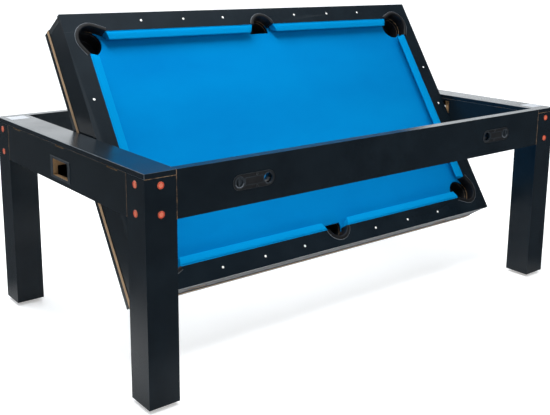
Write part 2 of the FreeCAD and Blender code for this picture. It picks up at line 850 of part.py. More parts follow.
def make_pool_bed():
    board = centred_board("pool_bed_board", INNER_LENGTH, INNER_WIDTH, BED_BASE, "board_thickness")
    holes = corner_bores("pool_bed", "corner_pocket_radius", BED_BASE, "board_thickness")
    holes += side_mouths("pool_bed", BED_BASE, "board_thickness")
    keep_tilted(cut("pool_bed", board, holes), "pool_bed")


def make_pool_cloth():
    sheet_length = "box_length - 2 * rail_width + 2 * cloth_margin"
    sheet_width = "box_width - 2 * rail_width + 2 * cloth_margin"
    sheet_blank = centred_board("pool_cloth_blank", sheet_length, sheet_width, CLOTH_BASE, "cloth_thickness")
    holes = corner_bores("pool_cloth", "corner_pocket_radius", CLOTH_BASE, "cloth_thickness")
    holes += side_mouths("pool_cloth", CLOTH_BASE, "cloth_thickness")
    # the cloth is trimmed square behind each corner pocket
    holes += [box("pool_cloth_trim_%s_%s" % (side_name, end_name), "2 * corner_pocket_radius",
                  "2 * corner_pocket_radius", "cloth_thickness", (
                      low_edge(end, "corner_pocket_across + 2 * corner_pocket_radius",
                               "corner_pocket_across"),
                      low_edge(side, "corner_pocket_out + 2 * corner_pocket_radius", "corner_pocket_out"),
                      CLOTH_BASE))
              for side_name, side, end_name, end in CORNERS]
    keep_tilted(cut("pool_cloth", sheet_blank, holes), "pool_cloth")


def marker_places():
    """The eighteen sights: three between pockets on the long rails and three on each end rail."""
    long_row = "box_width / 2 - rail_width / 2 + 1"
    end_row = "box_length / 2 - rail_width / 2 + 1"
    for side_name, side in SIDES:
        for step in (-3, -2, -1, 1, 2, 3):
            yield side_name, ("%d * marker_pitch" % step, signed(side, long_row))
    for end_name, end in ENDS:
        for step in (-1, 0, 1):
            yield end_name, (signed(end, end_row), "%d * marker_pitch" % step)


def marker_set(tag, wanted):
    """The round inlays of the sights on the rails named in wanted."""
    return [cylinder("%s_marker_%d" % (tag, number), "marker_radius", "marker_depth",
                     (across, along, TOP + " - marker_depth"))
            for number, (rail_name, (across, along)) in enumerate(marker_places()) if rail_name in wanted]


def make_markers():
    keep_tilted(group("rail_sights", marker_set("rail", ("near", "far", "left", "right"))), "rail_sights")


LIP_HEIGHT = "board_thickness"
RAIL_BLOCK_HEIGHT = "rail_depth - board_thickness"


def make_pool_rails():
    """Each rail is a wide top board with a lip, on a narrower block that rests on the bed."""
    for side_name, side in SIDES:
        name = "pool_rail_" + side_name
        inner = "box_width / 2 - rail_width"
        block_width = "rail_width - lip_inset - board_thickness"
        top = box(name + "_top", "box_length", "rail_width", LIP_HEIGHT, (
            "-box_length / 2", low_edge(side, "box_width / 2", inner), TOP + " - board_thickness"))
        block = box(name + "_block", INNER_LENGTH, block_width, RAIL_BLOCK_HEIGHT, (
            "-(%s) / 2" % INNER_LENGTH,
            low_edge(side, inner + " + " + block_width, inner), RAIL_BASE))
        tools = [corner_mouth("%s_mouth_%s" % (name, end_name), "corner_pocket_radius", side, end,
                              RAIL_BASE, "rail_depth") for end_name, end in ENDS]
        tools += side_bores(name, "side_pocket_radius", RAIL_BASE, "rail_depth")
        tools += marker_set(name, (side_name,))
        keep_tilted(cut(name, fuse(name + "_blank", [top, block]), tools), name)
    for end_name, end in ENDS:
        name = "pool_rail_" + end_name
        inner = "box_length / 2 - rail_width"
        block_width = "rail_width - lip_inset - board_thickness"
        length = "box_width - 2 * rail_width"
        top = box(name + "_top", "rail_width", length, LIP_HEIGHT, (
            low_edge(end, "box_length / 2", inner), "-(%s) / 2" % length, TOP + " - board_thickness"))
        block = box(name + "_block", block_width, length, RAIL_BLOCK_HEIGHT, (
            low_edge(end, inner + " + " + block_width, inner), "-(%s) / 2" % length, RAIL_BASE))
        tools = [corner_mouth("%s_mouth_%s" % (name, side_name), "corner_pocket_radius", side, end,
                              RAIL_BASE, "rail_depth") for side_name, side in SIDES]
        tools += marker_set(name, (end_name,))
        keep_tilted(cut(name, fuse(name + "_blank", [top, block]), tools), name)


def cushion_section(back, width, sign):
    """Half-arrow section of a cushion, as (outward, upward) pairs from the table's middle."""
    return [
        (signed(sign, back), TOP + " - cushion_top_drop"),
        (signed(sign, "%s - (%s)" % (back, width)), TOP + " - nose_drop"),
        (signed(sign, "%s - (%s)" % (back, width)), TOP + " - nose_drop - nose_depth"),
        (signed(sign, "%s - cushion_base_width" % back), TOP + " - cushion_base_drop"),
        (signed(sign, back), TOP + " - cushion_base_drop"),
    ]


def make_long_cushions():
    """Four long cushions, cut back on a slant at each pocket."""
    back = "box_width / 2 - rail_width"
    nose = back + " - cushion_width"
    for side_name, side, end_name, end in CORNERS:
        name = "cushion_%s_%s" % (side_name, end_name)
        body = new_body(name)
        section = new_sketch(body, name + "_section", "YZ_Plane")
        outline(section, cushion_section(back, "cushion_width", side))
        pad(body, section, "2 * long_cushion_end")
        ends = new_sketch(body, name + "_ends", "XY_Plane")
        nose_line = signed(side, nose + " - 1")
        back_line = signed(side, back + " + 1")
        outline(ends, [
            (signed(-end, "long_cushion_end + 1"), nose_line),
            (signed(end, "side_nose_gap"), nose_line),
            (signed(end, "side_cushion_gap"), back_line),
            (signed(-end, "long_cushion_end + 1"), back_line),
        ])
        outline(ends, [
            (signed(end, "long_nose_end"), nose_line),
            (signed(end, "long_cushion_end + run_off"), nose_line),
            (signed(end, "long_cushion_end + run_off"), back_line),
            (signed(end, "long_cushion_end"), back_line),
        ])
        pocket(body, ends)
        keep_tilted(body, name)


def make_end_cushions():
    back = "box_length / 2 - rail_width"
    nose = back + " - end_cushion_width"
    for end_name, end in ENDS:
        name = "cushion_" + end_name
        body = new_body(name)
        section = new_sketch(body, name + "_section", "XZ_Plane")
        outline(section, cushion_section(back, "end_cushion_width", end))
        pad(body, section, "2 * end_cushion_half")
        ends = new_sketch(body, name + "_ends", "XY_Plane")
        nose_line = signed(end, nose + " - 1")
        back_line = signed(end, back + " + 1")
        for side in (NEAR, FAR):
            outline(ends, [
                (nose_line, signed(side, "end_nose_half")),
                (nose_line, signed(side, "end_cushion_half + run_off")),
                (back_line, signed(side, "end_cushion_half + run_off")),
                (back_line, signed(side, "end_cushion_half")),
            ])
        pocket(body, ends)
        keep_tilted(body, name)


def make_pocket_rims():
    """Flanged liners of the rails' pocket holes, open where the cushions and the cloth begin."""
    inside_depth = "rail_depth + rim_thickness"
    play_length = "box_length - 2 * rail_width"
    play_width = "box_width - 2 * rail_width"
    rims = []
    for side_name, side, end_name, end in CORNERS:
        tag = "rim_%s_%s" % (side_name, end_name)
        outside = fuse(tag + "_solid", [
            corner_mouth(tag + "_flange", "corner_pocket_radius + rim_flange", side, end, TOP,
                         "rim_thickness"),
            corner_mouth(tag + "_skirt", "corner_pocket_radius", side, end, RAIL_BASE, "rail_depth"),
        ])
        inside = corner_mouth(tag + "_inside", "corner_pocket_radius - rim_wall", side, end, RAIL_BASE,
                              inside_depth)
        play_area = centred_board(tag + "_play_area", play_length, play_width, RAIL_BASE, inside_depth)
        rims.append(cut(tag, outside, [inside, play_area]))
    for side_name, side in SIDES:
        tag = "rim_side_" + side_name
        centre = ("0", signed(side, "side_pocket_out"))
        outside = fuse(tag + "_solid", [
            cylinder(tag + "_flange", "side_pocket_radius + rim_flange", "rim_thickness", centre + (TOP,)),
            cylinder(tag + "_skirt", "side_pocket_radius", "rail_depth", centre + (RAIL_BASE,)),
        ])
        inside = cylinder(tag + "_inside", "side_pocket_radius - rim_wall", inside_depth,
                          centre + (RAIL_BASE,))
        play_area = centred_board(tag + "_play_area", play_length, play_width, RAIL_BASE, inside_depth)
        rims.append(cut(tag, outside, [inside, play_area]))
    keep_tilted(group("pocket_rims", rims), "pocket_rims")


def make_pocket_cups():
    """Closed cups that hang under the bed and catch the balls."""
    cups = []
    depth = "%s - (cup_base_level)" % BED_BASE
    outsides = corner_bores("cup_outside", "corner_pocket_radius + cup_wall", "cup_base_level", depth)
    outsides += side_bores("cup_outside", "side_pocket_radius + cup_wall", "cup_base_level", depth)
    insides = corner_bores("cup_inside", "corner_pocket_radius", "cup_base_level + cup_wall", depth)
    insides += side_bores("cup_inside", "side_pocket_radius", "cup_base_level + cup_wall", depth)
    for number, (outside, inside) in enumerate(zip(outsides, insides)):
        cups.append(cut("cup_%d" % number, outside, [inside]))
    keep_tilted(group("pocket_cups", cups), "pocket_cups")


def make_box_panels():
    """Four upright boards close the box; the long ones are slotted for the latches."""
    base = HOCKEY_BED_TOP
    height = "%s - board_thickness - (%s)" % (TOP, HOCKEY_BED_TOP)
    for side_name, side in SIDES:
        name = "box_panel_" + side_name
        outer = "box_width / 2 - lip_inset"
        board = box(name + "_board", "box_length - 2 * lip_inset", "board_thickness", height, (
            "-(box_length / 2 - lip_inset)", low_edge(side, outer, outer + " - board_thickness"), base))
        slots = [box("%s_keeper_%s" % (name, end_name), "keeper_outer - keeper_inner", "board_thickness",
                     "keeper_height", (
                         low_edge(end, "keeper_outer", "keeper_inner"),
                         low_edge(side, outer, outer + " - board_thickness"), "-keeper_height / 2"))
                 for end_name, end in ENDS]
        keep_tilted(cut(name, board, slots), name)
    for end_name, end in ENDS:
        name = "box_panel_" + end_name
        outer = "box_length / 2 - lip_inset"
        board = box(name + "_board", "board_thickness", INNER_WIDTH, height, (
            low_edge(end, outer, outer + " - board_thickness"), "-(%s) / 2" % INNER_WIDTH, base))
        tools = [cylinder(name + "_shaft_hole", "shaft_radius", "board_thickness",
                          (signed(end, outer), "0", "0"), (-end, 0, 0))]
        if end == RIGHT:
            tools += [box("%s_air_slot_%d" % (name, number), "board_thickness", "air_slot_width",
                          "air_slot_height", (
                              outer + " - board_thickness",
                              "-blower_out - air_slot_width / 2 + (%g) * air_slot_pitch" % (number - 3.5),
                              "air_slot_base")) for number in range(8)]
        keep_tilted(cut(name, board, tools), name)


def make_braces():
    """Two cross boards between the beds, with holes that let the air through."""
    braces = []
    for end_name, end in ENDS:
        board = box("brace_board_" + end_name, "board_thickness", INNER_WIDTH, "rib_height", (
            signed(end, "brace_position") + " - board_thickness / 2",
            "-(%s) / 2" % INNER_WIDTH, HOCKEY_BED_TOP))
        holes = [cylinder("brace_hole_%s_%d" % (end_name, step + 3), "brace_hole_radius",
                          "board_thickness", (
                              signed(end, "brace_position") + " - board_thickness / 2",
                              "%d * brace_hole_pitch / 2" % step,
                              HOCKEY_BED_TOP + " + rib_height / 2"), (1, 0, 0)) for step in (-3, -1, 1, 3)]
        braces.append(cut("brace_" + end_name, board, holes))
    keep_tilted(group("box_braces", braces), "box_braces")


def make_pivot_blocks_and_shafts():
    """Each shaft is a flanged pin that runs into a wooden block behind the end panel."""
    blocks = []
    shafts = []
    for end_name, end in ENDS:
        outer = "(%s) / 2" % INNER_LENGTH
        block = box("pivot_block_solid_" + end_name, "pivot_block_depth", "pivot_block_width",
                    "rib_height - goal_tray_depth - pivot_block_gap", (
                        low_edge(end, outer, outer + " - pivot_block_depth"), "-pivot_block_width / 2",
                        HOCKEY_BED_TOP + " + goal_tray_depth + pivot_block_gap"))
        hole = cylinder("pivot_block_hole_" + end_name, "shaft_radius", "pivot_block_depth",
                        (signed(end, outer), "0", "0"), (-end, 0, 0))
        blocks.append(cut("pivot_block_" + end_name, block, [hole]))

        name = "pivot_shaft_" + end_name
        panel_face = "box_length / 2 - lip_inset"
        shaft = turned(name, [
            ("0", "shaft_root"),
            ("shaft_radius", "shaft_root"),
            ("shaft_radius", panel_face),
            ("flange_radius", panel_face),
            ("flange_radius", panel_face + " + flange_thickness"),
            ("shaft_radius", panel_face + " + flange_thickness"),
            ("shaft_radius", "shaft_end - 1"),
            ("shaft_radius - 1", "shaft_end"),
            ("0", "shaft_end"),
        ])
        shafts.append(aim(shaft, (end, 0, 0), ("0", "0", "pivot_height")))
    keep(group("pivot_shafts", shafts), "pivot_shafts")
    keep_tilted(group("pivot_blocks", blocks), "pivot_blocks")


# ---------------------------------------------------------------------------------------------
# Hockey side of the box
# ---------------------------------------------------------------------------------------------
HOCKEY_RAIL_BASE = "-box_thickness / 2"


def goal_cutter(name, end, base, depth):
    inner = "box_length / 2 - rail_width"
    return box(name, "goal_depth", "goal_width", depth, (
        low_edge(end, inner + " + goal_depth", inner), "-goal_width / 2", base))


def make_hockey_bed():
    board = centred_board("hockey_bed_board", "box_length", "box_width", HOCKEY_BED_BASE, "board_thickness")
    goals = [goal_cutter("hockey_bed_goal_" + end_name, end, HOCKEY_BED_BASE, "board_thickness")
             for end_name, end in ENDS]
    keep_tilted(cut("hockey_bed", board, goals), "hockey_bed")


def make_hockey_rails():
    long_rails = [box("hockey_rail_" + side_name, "box_length", "rail_width", "hockey_rail_depth", (
        "-box_length / 2", low_edge(side, "box_width / 2", "box_width / 2 - rail_width"),
        HOCKEY_RAIL_BASE)) for side_name, side in SIDES]
    keep_tilted(group("hockey_long_rails", long_rails), "hockey_long_rails")
    end_rails = []
    for end_name, end in ENDS:
        name = "hockey_rail_" + end_name
        length = "box_width - 2 * rail_width"
        rail = box(name + "_board", "rail_width", length, "hockey_rail_depth", (
            low_edge(end, "box_length / 2", "box_length / 2 - rail_width"), "-(%s) / 2" % length,
            HOCKEY_RAIL_BASE))
        tools = [goal_cutter(name + "_goal", end, HOCKEY_RAIL_BASE, "hockey_rail_depth")]
        if end == RIGHT:
            tools.append(switch_block(name + "_switch_hole", "hockey_rail_depth"))
            tools.append(cylinder(name + "_jack_hole", "jack_radius", "hockey_rail_depth",
                                  ("switch_across", "-jack_out", HOCKEY_RAIL_BASE)))
        end_rails.append(cut(name, rail, tools))
    keep_tilted(group("hockey_end_rails", end_rails), "hockey_end_rails")


def make_goal_trays():
    """A shallow tray behind each goal opening catches the puck."""
    trays = []
    for end_name, end in ENDS:
        inner = "box_length / 2 - rail_width"
        outside = box("goal_tray_outside_" + end_name, "goal_depth + 2 * goal_tray_wall",
                      "goal_width + 2 * goal_tray_wall", "goal_tray_depth", (
                          low_edge(end, inner + " + goal_depth + goal_tray_wall",
                                   inner + " - goal_tray_wall"),
                          "-goal_width / 2 - goal_tray_wall", HOCKEY_BED_TOP))
        inside = goal_cutter("goal_tray_inside_" + end_name, end, HOCKEY_BED_TOP,
                             "goal_tray_depth - goal_tray_wall")
        trays.append(cut("goal_tray_" + end_name, outside, [inside]))
    keep_tilted(group("goal_trays", trays), "goal_trays")


def make_blower():
    """A flat blower on the hockey bed, with a wheel that turns in its round well."""
    centre = ("blower_across", "-blower_out")
    shell = box("blower_shell", "blower_side", "blower_side", "blower_height", (
        "blower_across - blower_side / 2", "-blower_out - blower_side / 2", HOCKEY_BED_TOP))
    well = cylinder("blower_well", "rotor_radius + rotor_tip_gap", "blower_height",
                    centre + (HOCKEY_BED_TOP + " + blower_wall",))
    outlet = box("blower_outlet", "blower_side / 2", "blower_outlet_width",
                 "blower_height - 2 * blower_wall", (
                     "blower_across - blower_side / 2", "-blower_out + blower_outlet_shift",
                     HOCKEY_BED_TOP + " + blower_wall"))
    pin = cylinder("blower_pin", "blower_pin_radius", "blower_height - blower_wall - blower_pin_gap",
                   centre + (HOCKEY_BED_TOP + " + blower_wall",))
    housing = fuse("blower_housing", [cut("blower_casing", shell, [well, outlet]), pin])
    keep_tilted(housing, "blower_housing")

    wheel_base = HOCKEY_BED_TOP + " + blower_wall + rotor_lift"
    disc = cylinder("rotor_disc", "rotor_radius", "rotor_plate", centre + (wheel_base,))
    hub = cylinder("rotor_hub", "rotor_hub_radius", "rotor_height", centre + (wheel_base,))
    blades = []
    blade_count = 12
    for number in range(blade_count):
        blade = box("rotor_blade_%02d" % number, "rotor_radius - rotor_hub_radius", "rotor_plate",
                    "rotor_height",
                    ("0", "0", "0"))
        angle = 360 / blade_count * number
        heading = FreeCAD.Rotation(FreeCAD.Vector(0, 0, 1), angle)
        blade.Placement = FreeCAD.Placement(FreeCAD.Vector(0, 0, 0), heading)
        place(blade, "blower_across + (rotor_hub_radius - 1) * cos(%g deg)" % angle,
              "-blower_out + (rotor_hub_radius - 1) * sin(%g deg)" % angle, wheel_base)
        blades.append(blade)
    bore = cylinder("rotor_bore", "blower_pin_radius + bush_clearance", "rotor_height",
                    centre + (wheel_base,))
    wheel = fuse("rotor_solid", [disc, hub] + blades)
    keep_tilted(cut("blower_rotor", wheel, [bore]), "blower_rotor")


def switch_block(name, depth):
    return box(name, "switch_width", "switch_length", depth, (
        "switch_across - switch_width / 2", "-switch_out - switch_length / 2", HOCKEY_RAIL_BASE))


ROCKER_LEVEL = HOCKEY_RAIL_BASE + " + rocker_depth"


def make_switch_and_jack():
    """A rocker switch and a supply socket, let into the right hockey rail."""
    flange = box("switch_flange", "switch_width + 2 * flange_margin", "switch_length + 2 * flange_margin",
                 "flange_height", (
                     "switch_across - switch_width / 2 - flange_margin",
                     "-switch_out - switch_length / 2 - flange_margin",
                     HOCKEY_RAIL_BASE + " - flange_height"))
    block = switch_block("switch_block", "hockey_rail_depth - flange_height")
    well_length = "rocker_length + 4 * rocker_clearance"
    well = cylinder("switch_well", "rocker_radius + rocker_clearance", well_length, (
        "switch_across - (%s) / 2" % well_length, "-switch_out", ROCKER_LEVEL), (1, 0, 0))
    housing = cut("switch_housing", fuse("switch_solid", [flange, block]), [well])

    barrel = cylinder("rocker_barrel", "rocker_radius", "rocker_length",
                      ("switch_across - rocker_length / 2", "-switch_out", ROCKER_LEVEL), (1, 0, 0))
    dish = cylinder("rocker_dish", "rocker_dish", "rocker_length", (
        "switch_across - rocker_length / 2", "-switch_out - rocker_dish_shift",
        ROCKER_LEVEL + " - rocker_dish_level"), (1, 0, 0))
    keep_tilted(cut("switch_rocker", barrel, [dish]), "switch_rocker")

    collar = cylinder("jack_collar", "jack_collar_radius", "jack_collar_height",
                      ("switch_across", "-jack_out", HOCKEY_RAIL_BASE + " - jack_collar_height"))
    barrel = cylinder("jack_barrel", "jack_radius", "jack_barrel_length",
                      ("switch_across", "-jack_out", HOCKEY_RAIL_BASE))
    bore = cylinder("jack_bore", "jack_bore_radius", "jack_depth",
                    ("switch_across", "-jack_out", HOCKEY_RAIL_BASE + " - jack_collar_height"))
    socket = cut("supply_socket", fuse("jack_solid", [collar, barrel]), [bore])
    keep_tilted(group("supply_fittings", [housing, socket]), "supply_fittings")


# ---------------------------------------------------------------------------------------------
# Build, check and write
# ---------------------------------------------------------------------------------------------
def build():
    make_legs()
    make_leg_blocks()
    make_feet()
    make_bolts_and_caps()
    make_dowels()
    make_side_aprons()
    make_latches()
    make_latch_screws()
    make_end_panels()
    make_end_tops()
    make_window_frames()
    make_end_ribs()
    make_pivot_bearings()
    make_pool_bed()
    make_pool_cloth()
    make_markers()
    make_pool_rails()
    make_long_cushions()
    make_end_cushions()
    make_pocket_rims()
    make_pocket_cups()
    make_box_panels()
    make_braces()
    make_pivot_blocks_and_shafts()
    make_hockey_bed()
    make_hockey_rails()
    make_goal_trays()
    make_blower()
    make_switch_and_jack()
    doc.recompute()


def check():
    for thing in doc.Objects:
        if "Invalid" in thing.State or "Error" in thing.State:
            raise RuntimeError("failed object: %s %s" % (thing.Name, thing.State))
    for thing in sub_parts:
        if thing.Shape.isNull() or not thing.Shape.isValid() or not thing.Shape.Solids:
            raise RuntimeError("bad shape: " + thing.Label)


def write():
    os.makedirs("parts", exist_ok=True)
    for thing in sub_parts:
        thing.Shape.exportStep("parts/%s.step" % thing.Label)
        print("%-28s %3d solids %12.0f mm3" % (thing.Label, len(thing.Shape.Solids), thing.Shape.Volume))
    print(len(sub_parts), "sub-parts")


build()
check()
write()
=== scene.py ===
import json
import math

import bmesh
import bpy
from mathutils import Matrix, Quaternion, Vector
from mathutils.geometry import delaunay_2d_cdt


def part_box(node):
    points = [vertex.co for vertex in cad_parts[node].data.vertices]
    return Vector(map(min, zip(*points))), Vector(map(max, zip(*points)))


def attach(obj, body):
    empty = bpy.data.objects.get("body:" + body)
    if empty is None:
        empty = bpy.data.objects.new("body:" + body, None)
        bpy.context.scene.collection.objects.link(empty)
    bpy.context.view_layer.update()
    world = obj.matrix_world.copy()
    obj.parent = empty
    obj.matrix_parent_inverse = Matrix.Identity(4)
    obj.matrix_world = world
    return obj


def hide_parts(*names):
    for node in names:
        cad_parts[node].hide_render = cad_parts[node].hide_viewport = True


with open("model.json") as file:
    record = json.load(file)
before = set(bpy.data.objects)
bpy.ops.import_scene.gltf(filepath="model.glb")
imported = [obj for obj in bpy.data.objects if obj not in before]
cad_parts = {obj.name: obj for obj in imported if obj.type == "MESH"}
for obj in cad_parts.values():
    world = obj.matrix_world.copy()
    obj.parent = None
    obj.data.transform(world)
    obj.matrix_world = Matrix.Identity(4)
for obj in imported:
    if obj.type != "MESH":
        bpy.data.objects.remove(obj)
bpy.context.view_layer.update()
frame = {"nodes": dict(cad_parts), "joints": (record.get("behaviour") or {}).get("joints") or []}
nodes = frame["nodes"]

# ---- Places, worked out from the frame ----
MM = 0.001
box_turn = next(joint for joint in frame["joints"] if joint["name"] == "box_turn")
TILT = -math.radians(box_turn["range_deg"][0])
PIVOT = Vector(box_turn["pos_m"])
# from the level playing box, drawn about its turning axis, to the tilted one
BOX = Matrix.Translation(PIVOT) @ Matrix.Rotation(TILT, 4, "X")
TO_LEVEL = BOX.inverted()

NEAR, FAR = -1, 1
LEFT, RIGHT = -1, 1
SIDES = (("near", NEAR), ("far", FAR))
ENDS = (("left", LEFT), ("right", RIGHT))
UP = Vector((0, 0, 1))
BOX_UP = BOX.to_3x3() @ UP              # the tilted playing box's own way up


def extent(points):
    """Lowest and highest corner of some points."""
    return (Vector([min(point[axis] for point in points) for axis in range(3)]),
            Vector([max(point[axis] for point in points) for axis in range(3)]))


def level_box(node):
    """Lowest and highest corner of a playing box node, measured level about the turning axis."""
    return extent([TO_LEVEL @ vertex.co for vertex in nodes[node].data.vertices])


rail_low, rail_high = level_box("pool_rail_far")
RAIL_TOP = rail_high.z
RAIL_BACK = rail_low.y                          # line between a long rail and its cushions
END_BACK = level_box("pool_rail_right")[0].x    # line between an end rail and its cushion
CLOTH_TOP = level_box("pool_cloth")[1].z


# ---- Materials ----
def new_node(tree, kind, **inputs):
    """A new shader node, with some of its inputs set."""
    node = tree.nodes.new("ShaderNode" + kind)
    for name, value in inputs.items():
        node.inputs[name.replace("_", " ")].default_value = value
    return node


class Surface:
    """A short way to write one procedural material."""

    def __init__(self, name):
        self.material = bpy.data.materials.new(name)
        self.material.use_nodes = True
        self.tree = self.material.node_tree
        self.shader = self.tree.nodes["Principled BSDF"]
        self.coordinates = self.node("TexCoord")

    def node(self, kind, **inputs):
        return new_node(self.tree, kind, **inputs)

    def set(self, **values):
        """Numbers and colours that are the same all over, on the shader's own sockets."""
        for name, value in values.items():
            socket = self.shader.inputs[name.replace("_", " ")]
            socket.default_value = (*value, 1) if isinstance(value, tuple) else value

    def feed(self, **sources):
        """Node outputs that drive the shader's sockets."""
        for name, source in sources.items():
            self.link(source, self.shader.inputs[name.replace("_", " ")])

    def link(self, source, target):
        self.tree.links.new(source, target)

    def plug(self, value, socket):
        """Give a socket a number, or another node's output."""
        if isinstance(value, (int, float)):
            socket.default_value = value
        else:
            self.link(value, socket)

    def stretched(self, scale, turn=(0, 0, 0)):
        mapping = self.node("Mapping", Scale=scale, Rotation=turn)
        self.link(self.coordinates.outputs["Object"], mapping.inputs["Vector"])
        return mapping.outputs["Vector"]

    def noise(self, scale, detail=4, roughness=0.5, vector=None):
        texture = self.node("TexNoise", Scale=scale, Detail=detail, Roughness=roughness)
        self.link(vector or self.coordinates.outputs["Object"], texture.inputs["Vector"])
        return texture.outputs["Fac"]

    def waves(self, scale, vector, distortion=0.0):
        texture = self.node("TexWave", Scale=scale, Distortion=distortion)
        self.link(vector, texture.inputs["Vector"])
        return texture.outputs["Fac"]

    def ramp(self, value, stops):
        """A colour that follows a value through (position, colour) stops."""
        node = self.node("ValToRGB")
        elements = node.color_ramp.elements
        while len(elements) < len(stops):
            elements.new(0.5)
        for element, (position, colour) in zip(elements, stops):
            element.position = position
            element.color = (*colour, 1)
        self.link(value, node.inputs["Fac"])
        return node.outputs["Color"]

    def spread(self, value, low, high, start=0.0, end=1.0):
        """A value mapped from start..end to low..high."""
        node = self.node("MapRange", From_Min=start, From_Max=end, To_Min=low, To_Max=high)
        self.link(value, node.inputs["Value"])
        return node.outputs["Result"]

    def maths(self, operation, first, second):
        node = self.node("Math")
        node.operation = operation
        for socket, value in zip(node.inputs, (first, second)):
            self.plug(value, socket)
        return node.outputs["Value"]

    def mixed(self, share, first, second, kind="MIX"):
        """The first colour at share 0, and at share 1 the second, or their product for MULTIPLY."""
        node = self.node("Mix")
        node.data_type = "RGBA"
        node.blend_type = kind
        self.plug(share, node.inputs["Factor"])
        colour_inputs = [socket for socket in node.inputs if socket.type == "RGBA"]
        for socket, colour in zip(colour_inputs, (first, second)):
            self.link(colour, socket)
        return next(socket for socket in node.outputs if socket.type == "RGBA")

    def bumps(self, height, distance, strength=1.0):
        node = self.node("Bump", Strength=strength, Distance=distance)
        self.link(height, node.inputs["Height"])
        self.feed(Normal=node.outputs["Normal"])

    def facing(self, direction, one_way=False):
        """1 where the surface faces along a direction of the object, or against it too, else 0."""
        product = self.node("VectorMath")
        product.operation = "DOT_PRODUCT"
        self.link(self.coordinates.outputs["Normal"], product.inputs[0])
        product.inputs[1].default_value = direction
        share = product.outputs["Value"]
        if not one_way:
            share = self.maths("ABSOLUTE", share, 0)
        return self.maths("GREATER_THAN", share, 0.8)


LAMINATE_DARK = (0.0038, 0.0074, 0.0112)
LAMINATE_LIGHT = (0.0066, 0.0118, 0.0168)
LAMINATE_IOR = 1.3                      # a duller shine than clear lacquer
BOARD_LIGHT = (0.56, 0.37, 0.2)
BOARD_DARK = (0.3, 0.18, 0.09)
CLOTH_BLUE = (0.0, 0.205, 0.5)
# the darker blue of the cloth's slow patches, partly painted shade
CLOTH_DEEP_SHADE = (0.0, 0.165, 0.44)
# the cushions' cloth is the bed's cloth drawn lighter: painted light on their tops
CUSHION_PAINTED_LIT_BLUE = (0.0, 0.24, 0.54)
CUSHION_PAINTED_LIT_DEEP = (0.0, 0.215, 0.5)


def laminate_colour(make):
    """Black melamine laminate: a faint mottle."""
    return make.ramp(make.noise(9, 5), [(0.3, LAMINATE_DARK), (0.75, LAMINATE_LIGHT)])


def board_colour(make):
    """Raw fibreboard: fine specks over slow patches of lighter and darker board."""
    fibres = make.noise(650, 4, 0.7, make.stretched((1, 1.6, 1.6)))
    fine = make.ramp(fibres, [(0.25, BOARD_DARK), (0.7, BOARD_LIGHT)])
    patches = make.ramp(make.noise(14, 3), [(0.3, (0.72, 0.7, 0.68)), (0.7, (1, 0.99, 0.97))])
    return make.mixed(1, fine, patches, "MULTIPLY")


FOIL = (laminate_colour, 0.3)           # a colour, and its roughness
BOARD = (board_colour, 0.85)


def laminate_base(name):
    """A material with the fine pearl and the shine of laminate, still without a colour."""
    make = Surface(name)
    make.bumps(make.noise(900, 3, 0.6), 0.0004, 0.35)
    make.set(IOR=LAMINATE_IOR)
    return make


def black_laminate():
    """Laminate all over, with an uneven gloss."""
    make = laminate_base("black_laminate")
    gloss = make.spread(make.noise(5, 4, 0.6), 0.15, 0.25, 0.3, 0.7)
    make.feed(Base_Color=laminate_colour(make), Roughness=gloss)
    return make.material


def part_laminate(name, direction, faced, other):
    """One finish where the piece faces along a direction, or against it, and another elsewhere."""
    make = laminate_base(name)
    share = make.facing(direction)
    (faced_colour, faced_roughness), (other_colour, other_roughness) = faced, other
    make.feed(Base_Color=make.mixed(share, other_colour(make), faced_colour(make)),
              Roughness=make.spread(share, other_roughness, faced_roughness))
    return make.material


def raw_board():
    make = Surface("raw_board")
    make.feed(Base_Color=board_colour(make))
    make.bumps(make.noise(500, 4, 0.7), 0.0005, 0.6)
    make.set(Roughness=0.88)
    return make.material


def worn_and_highlit_edge():
    """The arris of a laminated board: where the foil is rubbed the board shows a little, and a pale
    blue-grey along the rest is a painted highlight.
    """
    make = Surface("worn_and_highlit_edge")
    rub_and_glint = make.noise(38, 6, 0.7)
    # dark foil, a pale blue-grey that is a painted highlight, and rubbed-through board
    foil_highlight_board = [(0.4, (0.03, 0.042, 0.055)), (0.6, (0.11, 0.13, 0.15)), (0.8, (0.4, 0.34, 0.27))]
    make.feed(Base_Color=make.ramp(rub_and_glint, foil_highlight_board), Roughness=make.spread(rub_and_glint, 0.3, 0.6))
    make.bumps(make.noise(300, 3), 0.0003, 0.4)
    return make.material


def joint_edge():
    """The sliver of raw board that shows where two laminated boards butt."""
    make = Surface("joint_edge")
    chips = make.noise(55, 6, 0.75)
    gap_to_board = [(0.38, (0.03, 0.022, 0.016)), (0.55, (0.3, 0.17, 0.08)), (0.72, (0.5, 0.36, 0.22))]
    make.feed(Base_Color=make.ramp(chips, gap_to_board))
    make.bumps(make.noise(400, 3), 0.0003, 0.5)
    make.set(Roughness=0.8)
    return make.material


def hockey_board():
    """The hockey bed: gloss white below, black laminate above, and raw board at its edges and holes."""
    make = Surface("hockey_laminate")
    white = make.ramp(make.noise(6, 4), [(0.3, (0.78, 0.8, 0.82)), (0.7, (0.86, 0.87, 0.88))])
    upper = make.mixed(make.facing(BOX_UP, one_way=True), board_colour(make), laminate_colour(make))
    under = make.facing(-BOX_UP, one_way=True)
    make.feed(Base_Color=make.mixed(under, upper, white), Roughness=make.spread(under, 0.6, 0.14))
    make.bumps(make.noise(420, 3, 0.6), 0.0004, 0.25)
    return make.material


